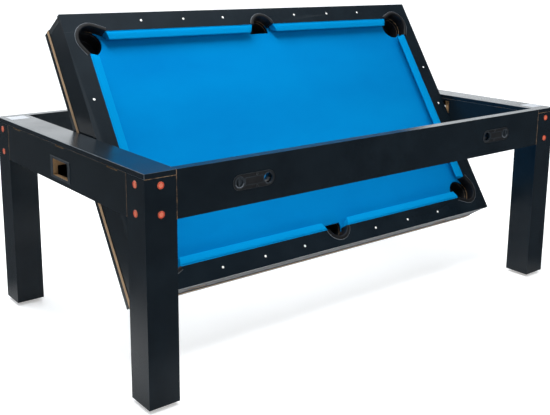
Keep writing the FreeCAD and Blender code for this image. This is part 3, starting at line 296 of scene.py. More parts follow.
def wool_cloth(name, light, deep):
    """Napped wool cloth: a fine weave, a soft nap, and slow patches of lighter and darker blue, partly
    random tone and partly painted shade for light that falls unevenly over the cloth.
    """
    make = Surface(name)
    level = (-TILT, 0, 0)
    flat = 0.0001                       # a scale too small for the threads to change along it
    across = make.waves(420, make.stretched((1, flat, flat), level), 0.6)
    along = make.waves(420, make.stretched((flat, 1, flat), level), 0.6)
    weave = make.maths("MULTIPLY", make.maths("MAXIMUM", across, along), 0.5)
    nap = make.noise(1300, 4, 0.75)
    fluff = make.maths("MULTIPLY", make.noise(160, 5, 0.7), 0.5)
    make.bumps(make.maths("ADD", make.maths("ADD", weave, nap), fluff), 0.0007, 0.5)
    # slow patches between the light and the deep blue: partly random tone, partly painted shade for uneven
    # light
    brushed_and_shaded = make.noise(2.6, 4, 0.55, make.stretched((0.6, 1.4, 1.4)))
    base = make.ramp(brushed_and_shaded, [(0.3, deep), (0.7, light)])
    fibres = make.ramp(nap, [(0.35, (0.86, 0.88, 0.92)), (0.7, (1, 1, 1))])
    make.feed(Base_Color=make.mixed(1, base, fibres, "MULTIPLY"))
    make.set(Roughness=1.0, Sheen_Weight=0.12, Sheen_Roughness=0.5, Sheen_Tint=(0.0, 0.55, 1.0),
             Specular_IOR_Level=0.04)
    return make.material


def plastic(name, low, high, roughness, grain=700):
    """Moulded plastic: slightly uneven colour, fine grain, and patchy gloss."""
    make = Surface(name)
    make.feed(Base_Color=make.ramp(make.noise(24, 4), [(0.3, low), (0.7, high)]),
              Roughness=make.spread(make.noise(60, 3), roughness * 0.8, roughness * 1.2))
    make.bumps(make.noise(grain, 3, 0.6), 0.0003, 0.4)
    return make.material


def metal(name, low, high, roughness, brushing=(1, 1, 1)):
    """Metal with fine brushing and slight staining."""
    make = Surface(name)
    lines = make.noise(900, 4, 0.6, make.stretched(brushing))
    make.feed(Base_Color=make.ramp(make.noise(40, 4), [(0.3, low), (0.75, high)]),
              Roughness=make.spread(lines, roughness * 0.7, roughness * 1.4))
    make.bumps(lines, 0.0002, 0.3)
    make.set(Metallic=1.0)
    return make.material


BLACK = black_laminate()
CUT_X = part_laminate("end_panel_laminate", (1, 0, 0), FOIL, BOARD)
# the end ribs' flat faces are drawn in black laminate as painted shade for the dark inside the ends; their
# other faces show raw board
FLAT_FACES_PAINTED_SHADE = part_laminate("end_ribs_painted_shade", UP, FOIL, BOARD)
SLOTTED = part_laminate("long_panel_laminate", BOX_UP, BOARD, FOIL)
RAW = raw_board()
# worn edges that also carry a painted highlight along every arris
WORN_HIGHLIT_EDGE = worn_and_highlit_edge()
JOINT_EDGE = joint_edge()
WHITE_BOARD = hockey_board()
CLOTH = wool_cloth("blue_cloth", CLOTH_BLUE, CLOTH_DEEP_SHADE)
# a lighter copy of the cloth for the cushions: painted light
PAINTED_LIT_CUSHION_CLOTH = wool_cloth("cushion_cloth_painted_lit", CUSHION_PAINTED_LIT_BLUE, CUSHION_PAINTED_LIT_DEEP)
BLACK_PLASTIC = plastic("black_plastic", (0.007, 0.0075, 0.009), (0.012, 0.0125, 0.014), 0.38)
GREY_PLASTIC = plastic("grey_plastic", (0.018, 0.024, 0.03), (0.03, 0.038, 0.047), 0.3)
# pale plastic for painted highlights on the pocket liners and the latch bolts
PAINTED_HIGHLIGHT_PLASTIC = plastic("pale_plastic_painted_highlight", (0.12, 0.14, 0.16), (0.2, 0.22, 0.25), 0.3)
LINER_PLASTIC = plastic("liner_plastic", (0.003, 0.0032, 0.004), (0.006, 0.0063, 0.007), 0.42)
# one red plastic drawn twice: this lighter red is painted light on the caps' dishes
LIT_RED_PLASTIC = plastic("red_plastic", (0.66, 0.15, 0.075), (0.76, 0.21, 0.12), 0.3)
# the darker red of the caps' rims: painted shade
SHADED_RED_RIM = plastic("red_rim_painted_shade", (0.5, 0.045, 0.02), (0.58, 0.065, 0.03), 0.3)
WHITE_PLASTIC = plastic("white_plastic", (0.84, 0.84, 0.82), (0.9, 0.9, 0.88), 0.22)
LABEL_PAPER = plastic("label_paper", (0.36, 0.38, 0.41), (0.44, 0.46, 0.49), 0.6, 300)
RED_INK = plastic("red_ink", (0.45, 0.03, 0.025), (0.52, 0.045, 0.035), 0.3)
# an even near-black for holes, recesses and the rings round the caps: painted shade
PAINTED_SHADE_DARK = plastic("painted_shade_dark", (0.004, 0.004, 0.004), (0.008, 0.008, 0.008), 0.8)
STEEL = metal("zinc_steel", (0.36, 0.36, 0.38), (0.55, 0.55, 0.57), 0.35, (1, 1, 12))
DARK_STEEL = metal("dark_steel", (0.1, 0.105, 0.115), (0.17, 0.175, 0.185), 0.4)
BRONZE = metal("bronze", (0.42, 0.25, 0.1), (0.58, 0.36, 0.16), 0.4)


# ---- Finishes of the CAD nodes ----
WELD_DISTANCE = 0.00002
SHARP_CORNER = math.radians(50)         # corners blunter than this get no arris


def dress(names, material, arris=0.0):
    """Give CAD nodes a material, and if arris isn't 0 a narrow bevel in the worn edge's material, which
    carries a painted highlight.
    """
    for name in names:
        thing = nodes[name]
        thing.data.materials.clear()
        thing.data.materials.append(material)
        if arris:
            thing.data.materials.append(WORN_HIGHLIT_EDGE)
            weld = thing.modifiers.new("weld", "WELD")
            weld.merge_threshold = WELD_DISTANCE
            bevel = thing.modifiers.new("arris", "BEVEL")
            bevel.width = arris
            bevel.segments = 2
            bevel.limit_method = "ANGLE"
            bevel.angle_limit = SHARP_CORNER
            bevel.material = 1
            bevel.harden_normals = True


def named(*starts):
    return [name for name in nodes if name.startswith(starts)]


dress(named("leg_near", "leg_far"), BLACK, 1.4 * MM)
dress(named("end_top"), BLACK, 1.1 * MM)
dress(named("side_apron"), BLACK, 0.8 * MM)
dress(named("hockey_long_rails", "hockey_end_rails", "pool_rail", "box_panel_left", "box_panel_right"),
      BLACK, 0.8 * MM)
dress(named("end_panel"), CUT_X, 0.5 * MM)
dress(["box_panel_near", "box_panel_far"], SLOTTED, 0.5 * MM)
# flat faces painted dark as shade, the rest raw board
dress(["end_ribs"], FLAT_FACES_PAINTED_SHADE)
dress(["leg_blocks", "joint_dowels", "pool_bed", "box_braces"], RAW)
# the pivot blocks are drawn dark, and the pale lines at their arrises are painted glints
dress(["pivot_blocks"], BLACK, 1.1 * MM)
dress(["hockey_bed"], WHITE_BOARD)
dress(["latch_plates", "pocket_cups", "pocket_rims", "goal_trays", "blower_housing", "supply_fittings"],
      BLACK_PLASTIC, 0.4 * MM)
dress(["blower_rotor", "switch_rocker", "window_frames"], GREY_PLASTIC, 0.4 * MM)
# moulded knobs, softer at the edge than the plates round them
dress(named("latch_bolt"), GREY_PLASTIC, 1.0 * MM)
dress(named("levelling_foot"), BLACK_PLASTIC)
dress(["rail_sights"], WHITE_PLASTIC)
dress(["bolt_caps"], LIT_RED_PLASTIC)
dress(["leg_bolts", "latch_screws", "pivot_plates", "pivot_shafts"], STEEL)
dress(["pivot_bushes"], BRONZE)
dress(["pool_cloth"] + named("cushion"), CLOTH)


# ---- Making pieces ----
SAME_POINT = 0.000002


def placed(name, data):
    """A new object in the scene."""
    thing = bpy.data.objects.new(name, data)
    bpy.context.scene.collection.objects.link(thing)
    return thing


def band(count):
    """The faces between two rings of count vertices each."""
    return [(step, (step + 1) % count, count + (step + 1) % count, count + step) for step in range(count)]


class Shape:
    """Vertices and faces of one new piece, with a finish number for each face."""

    def __init__(self):
        self.vertices = []
        self.faces = []
        self.finishes = []

    def add(self, vertices, faces, finish=0):
        start = len(self.vertices)
        self.vertices += [Vector(vertex) for vertex in vertices]
        self.faces += [tuple(start + index for index in face) for face in faces]
        self.finishes += [finish] * len(faces)

    def turned(self, place, axis, profile, count=32, rim=None):
        """A shape turned round an axis, from (radius, height) pairs. Segments in rim get finish 1."""
        axis = Vector(axis).normalized()
        first = axis.orthogonal().normalized()
        second = axis.cross(first)
        rings = []
        for radius, height in profile:
            ring = []
            for step in range(count):
                angle = math.tau * step / count
                spoke = first * math.cos(angle) + second * math.sin(angle)
                ring.append(Vector(place) + axis * height + spoke * radius)
            rings.append(ring)
        for number, (ring, following) in enumerate(zip(rings, rings[1:])):
            finish = 1 if rim and rim[0] <= number < rim[1] else 0
            self.add(ring + following, band(count), finish)

    def lofted(self, vertices, size, closed=False, finish=0):
        """A skin over rings of vertices, size to a ring; it has two end caps unless it is closed."""
        rings = len(vertices) // size
        faces = []
        for ring in range(rings if closed else rings - 1):
            here, there = ring * size, (ring + 1) % rings * size
            faces += [(here + side, here + (side + 1) % size, there + (side + 1) % size, there + side)
                      for side in range(size)]
        if not closed:
            faces += [tuple(range(size)), tuple(range(len(vertices) - 1, len(vertices) - size - 1, -1))]
        self.add(vertices, faces, finish)

    def swept(self, path, section, closed=False, finish=0):
        """A section of (outward, upward) pairs along a path of (point, outward, up) triples."""
        vertices = [Vector(point) + Vector(outward) * out + Vector(up) * rise
                    for point, outward, up in path for out, rise in section]
        self.lofted(vertices, len(section), closed, finish)

    def piece(self, name, materials, body, level=False, stands_for=(), sharp=35):
        """The object itself, riding on its body; level shapes are tilted with the playing box."""
        mesh = bpy.data.meshes.new(name)
        mesh.from_pydata(self.vertices, [], self.faces)
        for material in materials:
            mesh.materials.append(material)
        mesh.polygons.foreach_set("material_index", self.finishes)
        if level:
            mesh.transform(BOX)
        clean = bmesh.new()
        clean.from_mesh(mesh)
        bmesh.ops.remove_doubles(clean, verts=clean.verts, dist=SAME_POINT)
        bmesh.ops.recalc_face_normals(clean, faces=clean.faces)
        for face in clean.faces:
            face.smooth = True
        for edge in clean.edges:
            edge.smooth = len(edge.link_faces) == 2 and edge.calc_face_angle() < math.radians(sharp)
        clean.to_mesh(mesh)
        clean.free()
        thing = placed(name, mesh)
        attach(thing, body)
        if stands_for:
            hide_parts(*stands_for)
        return thing


def islands(node, to_frame=Matrix.Identity(4)):
    """(lowest corner, highest corner) of each separate solid in a CAD node, measured in a given frame."""
    mesh = nodes[node].data
    places = {}
    owners = {}
    for vertex in mesh.vertices:
        key = tuple(round(value, 5) for value in vertex.co)
        places[vertex.index] = owners.setdefault(key, len(owners))
    parents = list(range(len(owners)))

    def root(index):
        while parents[index] != index:
            parents[index] = parents[parents[index]]
            index = parents[index]
        return index

    for polygon in mesh.polygons:
        corners = [places[index] for index in polygon.vertices]
        for corner in corners[1:]:
            parents[root(corner)] = root(corners[0])
    groups = {}
    for vertex in mesh.vertices:
        groups.setdefault(root(places[vertex.index]), []).append(to_frame @ vertex.co)
    return [extent(points) for points in groups.values()]


# ---- Pockets and playing cloth, drawn level ----
CORNER = Vector((0.836, 0.452))         # middle of a corner pocket
CORNER_RADIUS = 0.056
SIDE_POCKET = Vector((0, 0.472))        # middle of a side pocket
SIDE_RADIUS = 0.052
SHELF = 0.457                           # straight edge of the bed at a side pocket
LONG_WING = math.radians(23.4)          # slant of a corner pocket's side next to the long rail
END_WING = math.radians(60.3)           # slant of its side next to the end rail
WALL = 0.0025                           # thickness of a pocket liner
WING_STEPS = 4
# from the top of the rail, round the liner's lip: (outward, upward) pairs
LIP = [(-WALL, 0.0002), (-0.0021, 0.0017), (-0.001, 0.0026), (0.001, 0.0031), (0.006, 0.003),
       (0.0105, 0.0024), (0.0124, 0.0015), (0.013, 0.0003), (0.013, 0), (-0.0004, -0.0004)]
# a pale strip round the outer edge of the lip, as (outward, upward) pairs: a painted highlight
LIP_HIGHLIGHT_STRIP = [(0.0124, 0.0012), (0.0132, 0.0014), (0.0138, 0.0008), (0.0138, 0), (0.0124, 0)]


def mirrored(points, side, end):
    """Two-part points turned to one corner of the table."""
    return [Vector((end * point.x, side * point.y)) for point in points]


def arc(centre, radius, start, finish, count):
    """Points along an arc, from one angle in degrees to another."""
    angles = [math.radians(start + (finish - start) * step / count) for step in range(count + 1)]
    return [centre + radius * Vector((math.cos(angle), math.sin(angle))) for angle in angles]


def corner_rim():
    """The U of a corner pocket from the long cushion round to the end cushion, as points and outwards."""
    long_out = Vector((-math.sin(LONG_WING), math.cos(LONG_WING)))
    end_out = Vector((math.sin(END_WING), -math.cos(END_WING)))
    long_heading = Vector((-math.cos(LONG_WING), -math.sin(LONG_WING)))
    end_heading = Vector((-math.cos(END_WING), -math.sin(END_WING)))
    long_start = CORNER + long_out * CORNER_RADIUS
    end_start = CORNER + end_out * CORNER_RADIUS
    long_reach = (long_start.y - RAIL_BACK) / math.sin(LONG_WING)
    end_reach = (end_start.x - END_BACK) / math.cos(END_WING)
    path = [(long_start + long_heading * long_reach * step / WING_STEPS, long_out)
            for step in range(WING_STEPS, 0, -1)]
    bend = arc(CORNER, CORNER_RADIUS, 90 + math.degrees(LONG_WING), math.degrees(END_WING) - 90, 28)
    path += [(point, (point - CORNER).normalized()) for point in bend]
    path += [(end_start + end_heading * end_reach * step / WING_STEPS, end_out)
             for step in range(1, WING_STEPS + 1)]
    return path


def side_rim():
    """The arc of a side pocket between its two cushions, as points and outwards."""
    edge = math.degrees(math.asin((RAIL_BACK - SIDE_POCKET.y) / SIDE_RADIUS))
    bend = arc(SIDE_POCKET, SIDE_RADIUS, edge, 180 - edge, 24)
    return [(point, (point - SIDE_POCKET).normalized()) for point in bend]


def make_pocket_liners():
    """Moulded liners: a wall down the rail's depth and a rounded lip over the rail, with a pale strip along
    the lip's outer edge as a painted highlight.
    """
    lip = [(out, RAIL_TOP + rise) for out, rise in LIP]
    section = [(-WALL, CLOTH_TOP)] + lip + [(lip[-1][0], CLOTH_TOP)]
    trim = [(out, RAIL_TOP + rise) for out, rise in LIP_HIGHLIGHT_STRIP]
    liners = Shape()
    for _, side in SIDES:
        for rim, ends in ((corner_rim(), (LEFT, RIGHT)), (side_rim(), (RIGHT,))):
            for end in ends:
                points = mirrored([point for point, _ in rim], side, end)
                outwards = mirrored([out for _, out in rim], side, end)
                path = [(point.to_3d(), out.to_3d(), UP) for point, out in zip(points, outwards)]
                liners.swept(path, section)
                # the pale strip along the lip: a painted highlight
                liners.swept(path, trim, finish=1)
    liners.piece("pocket_liners", [LINER_PLASTIC, PAINTED_HIGHLIGHT_PLASTIC], "playing_box",
                 level=True, stands_for=("pocket_rims",), sharp=50)


def make_bed_shade_sleeves():
    """Thin dark sleeves over the walls of the holes in the bed, under the cloth's turned edge: painted shade
    in the pockets.
    """
    sleeves = Shape()
    high, low = CLOTH_TOP - 0.0045, CLOTH_TOP - 0.0165
    skin = 0.0003                       # half of the side sleeves' thickness
    for _, side in SIDES:
        for end in (RIGHT, LEFT):
            place = (end * CORNER.x, side * CORNER.y, 0)
            sleeves.turned(place, UP, [(CORNER_RADIUS - 0.0003, low), (CORNER_RADIUS - 0.0011, low - 0.0004),
                                       (CORNER_RADIUS - 0.0009, high), (CORNER_RADIUS - 0.0003, high)], 40)
        middle = Vector((0, side * SIDE_POCKET.y, 0))
        bend = mirrored(arc(SIDE_POCKET, SIDE_RADIUS - 2 * skin, -16, 196, 30), side, RIGHT)
        path = [(point.to_3d(), (point.to_3d() - middle).normalized(), UP) for point in bend]
        sleeves.swept(path, [(-skin, low), (-skin, high), (skin, high), (skin, low)])
    sleeves.piece("bed_shade_sleeves", [PAINTED_SHADE_DARK], "playing_box", level=True)


CLOTH_HALF = Vector((0.878, 0.4985))    # half of the cloth's length and width
CLOTH_THICKNESS = 0.001
CLOTH_PITCH = 0.03                      # between the points of its mesh
HOLE_MARGIN = 0.012                     # its mesh has no loose points nearer to an edge than this
TURN = 0.001                            # the cloth starts to turn down this far before a hole's edge
# the turned edge: (way inward, drop) pairs
TURNED_EDGE = [(0.0009, 0.00025), (0.0017, 0.0009), (0.0021, 0.0019), (0.0022, 0.0035), (0.0022, 0.006)]
PUCKER = 0.00025


def cloth_runs():
    """A corner's and a side pocket's cut edge, each as points with the way the cloth turns down."""
    radius = CORNER_RADIUS + TURN
    start = 180 - math.degrees(math.asin((CLOTH_HALF.y - CORNER.y) / radius))
    finish = 360 - math.degrees(math.acos((CLOTH_HALF.x - CORNER.x) / radius))
    corner = [(point, (CORNER - point).normalized()) for point in arc(CORNER, radius, start, finish, 36)]
    radius = SIDE_RADIUS + TURN
    upper = math.degrees(math.asin((CLOTH_HALF.y - SIDE_POCKET.y) / radius))
    lower = math.degrees(math.asin((SHELF - TURN - SIDE_POCKET.y) / radius))
    bend = [(point, (SIDE_POCKET - point).normalized())
            for point in arc(SIDE_POCKET, radius, upper, lower, 10)]
    half = bend[-1][0].x
    shelf = [(Vector((half * (1 - step / 8), SHELF - TURN)), Vector((0, 1))) for step in range(1, 16)]
    other = [(Vector((-point.x, point.y)), Vector((-way.x, way.y))) for point, way in reversed(bend)]
    return corner, bend + shelf + other


def cloth_outline():
    """The cloth's whole edge in runs of (point, way it turns down), with None where it stays flat."""
    corner, side_run = cloth_runs()

    def turned_to(run, side, end, backwards):
        points = mirrored([point for point, _ in run], side, end)
        ways = mirrored([way for _, way in run], side, end)
        pairs = list(zip(points, ways))
        return pairs[::-1] if backwards else pairs

    runs = [turned_to(corner, FAR, RIGHT, True), turned_to(side_run, FAR, RIGHT, False),
            turned_to(corner, FAR, LEFT, False), turned_to(corner, NEAR, LEFT, True),
            turned_to(side_run, NEAR, RIGHT, True), turned_to(corner, NEAR, RIGHT, False)]
    outline = []
    for run, following in zip(runs, runs[1:] + runs[:1]):
        outline.append(run)
        start, finish = run[-1][0], following[0][0]
        count = max(2, round((finish - start).length / CLOTH_PITCH))
        outline.append([(start.lerp(finish, step / count), None) for step in range(1, count)])
    return outline


def make_playing_cloth():
    """The cloth stretched over the bed, with its edges turned down into the pockets."""
    outline = cloth_outline()
    edge = [point for run in outline for point, _ in run]
    grid = []
    rows, columns = int(CLOTH_HALF.y / CLOTH_PITCH), int(CLOTH_HALF.x / CLOTH_PITCH)
    for row in range(-rows, rows + 1):
        for column in range(-columns, columns + 1):
            point = Vector((column * CLOTH_PITCH, row * CLOTH_PITCH))
            folded = Vector((abs(point.x), abs(point.y)))
            clear = min((folded - CORNER).length - CORNER_RADIUS,
                        (folded - SIDE_POCKET).length - SIDE_RADIUS,
                        CLOTH_HALF.x - folded.x, CLOTH_HALF.y - folded.y)
            if clear > HOLE_MARGIN:
                grid.append(point)
    points, _, triangles, origins, _, _ = delaunay_2d_cdt(
        edge + grid, [], [list(range(len(edge)))], 1, 0.000001)
    numbers = {}
    for number, sources in enumerate(origins):
        for source in sources:
            numbers[source] = number
    vertices = [(point.x, point.y, CLOTH_TOP) for point in points]
    faces = [tuple(face) for face in triangles]
    first = 0
    for run in outline:
        if run[0][1] is not None:
            above = [numbers[first + step] for step in range(len(run))]
            for inward, drop in TURNED_EDGE:
                row = []
                for step, (point, way) in enumerate(run):
                    pucker = PUCKER * math.sin(step * 1.7) * drop / TURNED_EDGE[-1][1]
                    place = point + way * (inward + pucker)
                    row.append(len(vertices))
                    vertices.append((place.x, place.y, CLOTH_TOP - drop))
                faces += [(above[step], above[step + 1], row[step + 1], row[step])
                          for step in range(len(run) - 1)]
                above = row
        first += len(run)
    shape = Shape()
    shape.add(vertices, faces)
    cloth = shape.piece("playing_cloth", [CLOTH], "playing_box", level=True,
                        stands_for=("pool_cloth",), sharp=80)
    if cloth.data.polygons[0].normal.dot(BOX_UP) < 0:
        cloth.data.flip_normals()
    body = cloth.modifiers.new("thickness", "SOLIDIFY")
    body.thickness = CLOTH_THICKNESS
    body.offset = -1


# ---- Cushions, drawn level ----
# width of a cushion; where its back edge starts and ends along the rail; the same for its nose
LONG_CUSHION = (0.0355, (0.058, 0.770), (0.072, 0.760))
END_CUSHION = (0.040, (-0.390, 0.390), (-0.382, 0.382))
NOSE_RADIUS = 0.0035
NOSE_DEPTH = 0.010                      # from the rail's top down to the middle of the nose
CUSHION_STEPS = 26
FULLNESS = 0.00015                      # how far the cover swells and sinks along the cushion


def cushion_section(width):
    """(inward, height) pairs round a covered cushion, with its tucked strip and soft nose."""
    top = RAIL_TOP
    nose = width - NOSE_RADIUS
    middle = top - NOSE_DEPTH
    upper = [(0.0002, top - 0.0014), (0.0022, top - 0.0013), (0.003, top - 0.0026), (0.0042, top - 0.0027),
             (0.0052, top - 0.0014), (0.009, top - 0.0011), (0.015, top - 0.0017),
             (width * 0.66, top - 0.0036), (nose - 0.001, top - 0.0062)]
    front = [(nose + NOSE_RADIUS * math.cos(angle), middle + NOSE_RADIUS * math.sin(angle))
             for angle in map(math.radians, (70, 45, 20, -5, -30, -60))]
    under = [(nose - 0.004, top - 0.0175), (width * 0.62, top - 0.0275), (0.0155, top - 0.0345),
             (0.0002, top - 0.035)]
    return upper + front + under


def make_cushion(name, sizes, to_table):
    """A covered cushion between two mitred ends. to_table turns (along, inward) into a level point."""
    width, back_ends, nose_ends = sizes
    section = cushion_section(width)
    middle_in = sum(inward for inward, _ in section) / len(section)
    middle_up = sum(height for _, height in section) / len(section)
    # share of the length, shift from there, and scale: the ends are drawn in a little
    stations = [(0, 0.0, 0.95), (0, 0.0012, 1)]
    stations += [(step / CUSHION_STEPS, 0.0, 1) for step in range(1, CUSHION_STEPS)]
    stations += [(1, -0.0012, 1), (1, 0.0, 0.95)]
    vertices = []
    for share, shift, scale in stations:
        for inward, height in section:
            slant = inward / width
            start = back_ends[0] + (nose_ends[0] - back_ends[0]) * slant
            finish = back_ends[1] + (nose_ends[1] - back_ends[1]) * slant
            along = start + (finish - start) * share + shift
            fullness = FULLNESS * math.sin(along * 31) if scale == 1 else 0
            deep = middle_in + (inward - middle_in) * scale
            place = to_table(along, deep)
            vertices.append((place.x, place.y, middle_up + (height - middle_up) * scale + fullness))
    shape = Shape()
    shape.lofted(vertices, len(section))
    cushion = shape.piece("covered_" + name, [PAINTED_LIT_CUSHION_CLOTH], "playing_box",
                          level=True, stands_for=(name,), sharp=48)


def make_cushions():
    """Two cushions on each long rail and one on each end rail."""
    for side_name, side in SIDES:
        for end_name, end in ENDS:
            make_cushion("cushion_%s_%s" % (side_name, end_name), LONG_CUSHION,
                         lambda along, deep: Vector((end * along, side * (RAIL_BACK - deep))))
    for end_name, end in ENDS:
        make_cushion("cushion_" + end_name, END_CUSHION,
                     lambda along, deep: Vector((end * (END_BACK - deep), along)))


# ---- Small fittings ----
# turned fittings, as (radius or share of the radius, height) pairs from the middle outwards
SIGHT_DOME = [(0, 0.0009), (0.45, 0.00082), (0.8, 0.0005), (0.96, 0.0002), (1, -0.0004)]
SIGHT_COLLAR = [(0, -0.0002), (0.0002, 0.00022), (0.0009, 0.00018), (0.0011, -0.0002)]
CAP_DISH = [(0, 0.0011), (0.005, 0.0012), (0.0074, 0.0014), (0.0084, 0.0023), (0.0098, 0.0028),
            (0.0112, 0.0023), (0.0119, 0.001), (0.012, 0)]
# a thin dark ring round the foot of each cap: painted shade
CAP_SHADE_RING = [(0.012, 0.0001), (0.0124, 0.0004), (0.0142, 0.0003), (0.0146, 0)]
CAP_DEPTH = 0.002                       # from the CAD cap's outer face back to the wood
LATCH_RING = [(0.0192, -0.0002), (0.0194, 0.001), (0.0203, 0.0013), (0.0214, 0.0008), (0.0216, -0.0002)]
PLATE_LIP = [(-0.0012, -0.0002), (-0.001, 0.0008), (0, 0.0011), (0.001, 0.0008), (0.0012, -0.0002)]
BOLT_LIP = [(-0.0012, -0.0002), (-0.0008, 0.0005), (0.0008, 0.0005), (0.0012, -0.0002)]
SCREW_DOME = [(0, 0.0006), (0.5, 0.00055), (0.85, 0.0003), (1, 0), (1, -0.001)]
CROSS_LENGTH, CROSS_WIDTH = 0.55, 0.12  # half the size of a cross recess, as shares of the head's radius
QUADRANTS = ((1, 1), (-1, 1), (-1, -1), (1, -1))


def scaled(profile, radius):
    return [(share * radius, height) for share, height in profile]


def make_sights():
    """Domed sights let into the rails, each in a thin dark collar."""
    sights = Shape()
    for low, high in islands("rail_sights", TO_LEVEL):
        middle = (low + high) / 2
        place = (middle.x, middle.y, RAIL_TOP)
        radius = (high.x - low.x) / 2
        sights.turned(place, UP, scaled(SIGHT_DOME, radius), 24)
        collar = [(radius + out, height) for out, height in SIGHT_COLLAR]
        sights.turned(place, UP, collar, 24, rim=(0, 3))
    sights.piece("domed_sights", [WHITE_PLASTIC, BLACK_PLASTIC], "playing_box",
                 level=True, stands_for=("rail_sights",))


def outward_axis(low, high):
    """The axis a small round fitting faces along, pointing away from the table's middle."""
    size = high - low
    axis = 0 if size.x < size.y else 1
    middle = (low + high) / 2
    direction = Vector((0, 0, 0))
    direction[axis] = math.copysign(1, middle[axis])
    return axis, direction


def make_bolt_caps():
    """Red caps over the leg bolts: a raised rim round a shallow dish, the dish in a lighter red as painted
    light and the rim in a darker red as painted shade, each in a thin dark ring of painted shade.
    """
    caps = Shape()
    shade_rings = Shape()
    for low, high in islands("bolt_caps"):
        axis, direction = outward_axis(low, high)
        place = (low + high) / 2
        place[axis] = math.copysign(max(abs(low[axis]), abs(high[axis])) - CAP_DEPTH, direction[axis])
        caps.turned(place, direction, CAP_DISH, 36, rim=(2, 5))
        shade_rings.turned(place, direction, CAP_SHADE_RING, 36)
    caps.piece("dished_bolt_caps", [LIT_RED_PLASTIC, SHADED_RED_RIM], "frame",
               stands_for=("bolt_caps",))
    shade_rings.piece("bolt_cap_shade_rings", [PAINTED_SHADE_DARK], "frame")


def rounded_rectangle(middle, half_length, half_height, radius, count):
    """Points round a rounded rectangle, each with its way outwards."""
    pairs = []
    for number, (across, rise) in enumerate(QUADRANTS):
        corner = Vector((middle[0] + across * (half_length - radius),
                         middle[1] + rise * (half_height - radius)))
        pairs += [(point, (point - corner).normalized())
                  for point in arc(corner, radius, 90 * number, 90 * number + 90, count)]
    return pairs


def flat_loop(centre, half_length, half_height, radius, face, count=8):
    """A rounded rectangle on a side apron's face, as a closed path of (point, outward, up)."""
    return [(centre + Vector((point.x, 0, point.y)), Vector((out.x, 0, out.y)), Vector((0, face, 0)))
            for point, out in rounded_rectangle((0, 0), half_length, half_height, radius, count)]


def outer_face(low, high):
    """1 or -1 for the side that a fitting on an apron faces, and the y of its outer face."""
    face = math.copysign(1, low.y)
    return face, face * max(abs(low.y), abs(high.y))


def make_latch_trims():
    """Raised edges of the latch plates: the plate's rim, the track between the holes, and two rings."""
    trims = Shape()
    inset = 0.0016
    for low, high in islands("latch_plates"):
        face, outer = outer_face(low, high)
        middle = (low + high) / 2
        centre = Vector((middle.x, outer, middle.z))
        half_height = (high.z - low.z) / 2
        half_length = (high.x - low.x) / 2
        reach = half_length - half_height       # from the plate's middle to a hole's
        rim = flat_loop(centre, half_length - inset, half_height - inset, half_height - 0.0017, face, 14)
        trims.swept(rim, PLATE_LIP, closed=True, finish=1)
        trims.swept(flat_loop(centre, reach - 0.023, 0.013, 0.004, face), PLATE_LIP, closed=True)
        for way in (-1, 1):
            trims.turned(centre + Vector((way * reach, 0, 0)), (0, face, 0), LATCH_RING, 36)
    trims.piece("latch_trims", [GREY_PLASTIC, BLACK_PLASTIC], "frame")


def make_latch_lip_highlights():
    """A pale half-moon on the lower arc of each latch bolt's dished head: a painted highlight."""
    for side_name, side in SIDES:
        for end_name, end in ENDS:
            node = "latch_bolt_%s_%s" % (side_name, end_name)
            low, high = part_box(node)
            middle = (low + high) / 2
            centre = Vector((middle.x, outer_face(low, high)[1], middle.z))
            radius = (high.x - low.x) / 2 - 0.002
            path = []
            for step in range(17):
                angle = math.radians(200 + 140 * step / 16)
                out = Vector((math.cos(angle), 0, math.sin(angle)))
                path.append((centre + out * radius, out, Vector((0, side, 0))))
            lip = Shape()
            lip.swept(path, BOLT_LIP)
            lip.piece("latch_lip_%s_%s" % (side_name, end_name), [PAINTED_HIGHLIGHT_PLASTIC],
                      "latch_%s_%s" % (side_name, end_name))


def make_latch_screw_heads():
    """Domed heads, each with a dark cross that stands for its recess as painted shade."""
    heads = Shape()
    for low, high in islands("latch_screws"):
        face, outer = outer_face(low, high)
        outward = Vector((0, face, 0))
        place = Vector(((low.x + high.x) / 2, outer, (low.z + high.z) / 2))
        radius = (high.x - low.x) / 2
        heads.turned(place, outward, scaled(SCREW_DOME, radius), 24)
        # a dark cross for the recess: painted shade
        for turn in (0, 90):
            angle = math.radians(turn + 20)
            along = Vector((math.cos(angle), 0, math.sin(angle)))
            across = Vector((-along.z, 0, along.x))
            corners = [place + along * radius * CROSS_LENGTH * one + across * radius * CROSS_WIDTH * two
                       + outward * lift for lift in (0.0003, 0.0007) for one, two in QUADRANTS]
            heads.add(corners, [(4, 5, 6, 7), (0, 1, 5, 4), (1, 2, 6, 5), (2, 3, 7, 6), (3, 0, 4, 7)], 1)
    heads.piece("latch_screw_heads", [DARK_STEEL, PAINTED_SHADE_DARK], "frame")


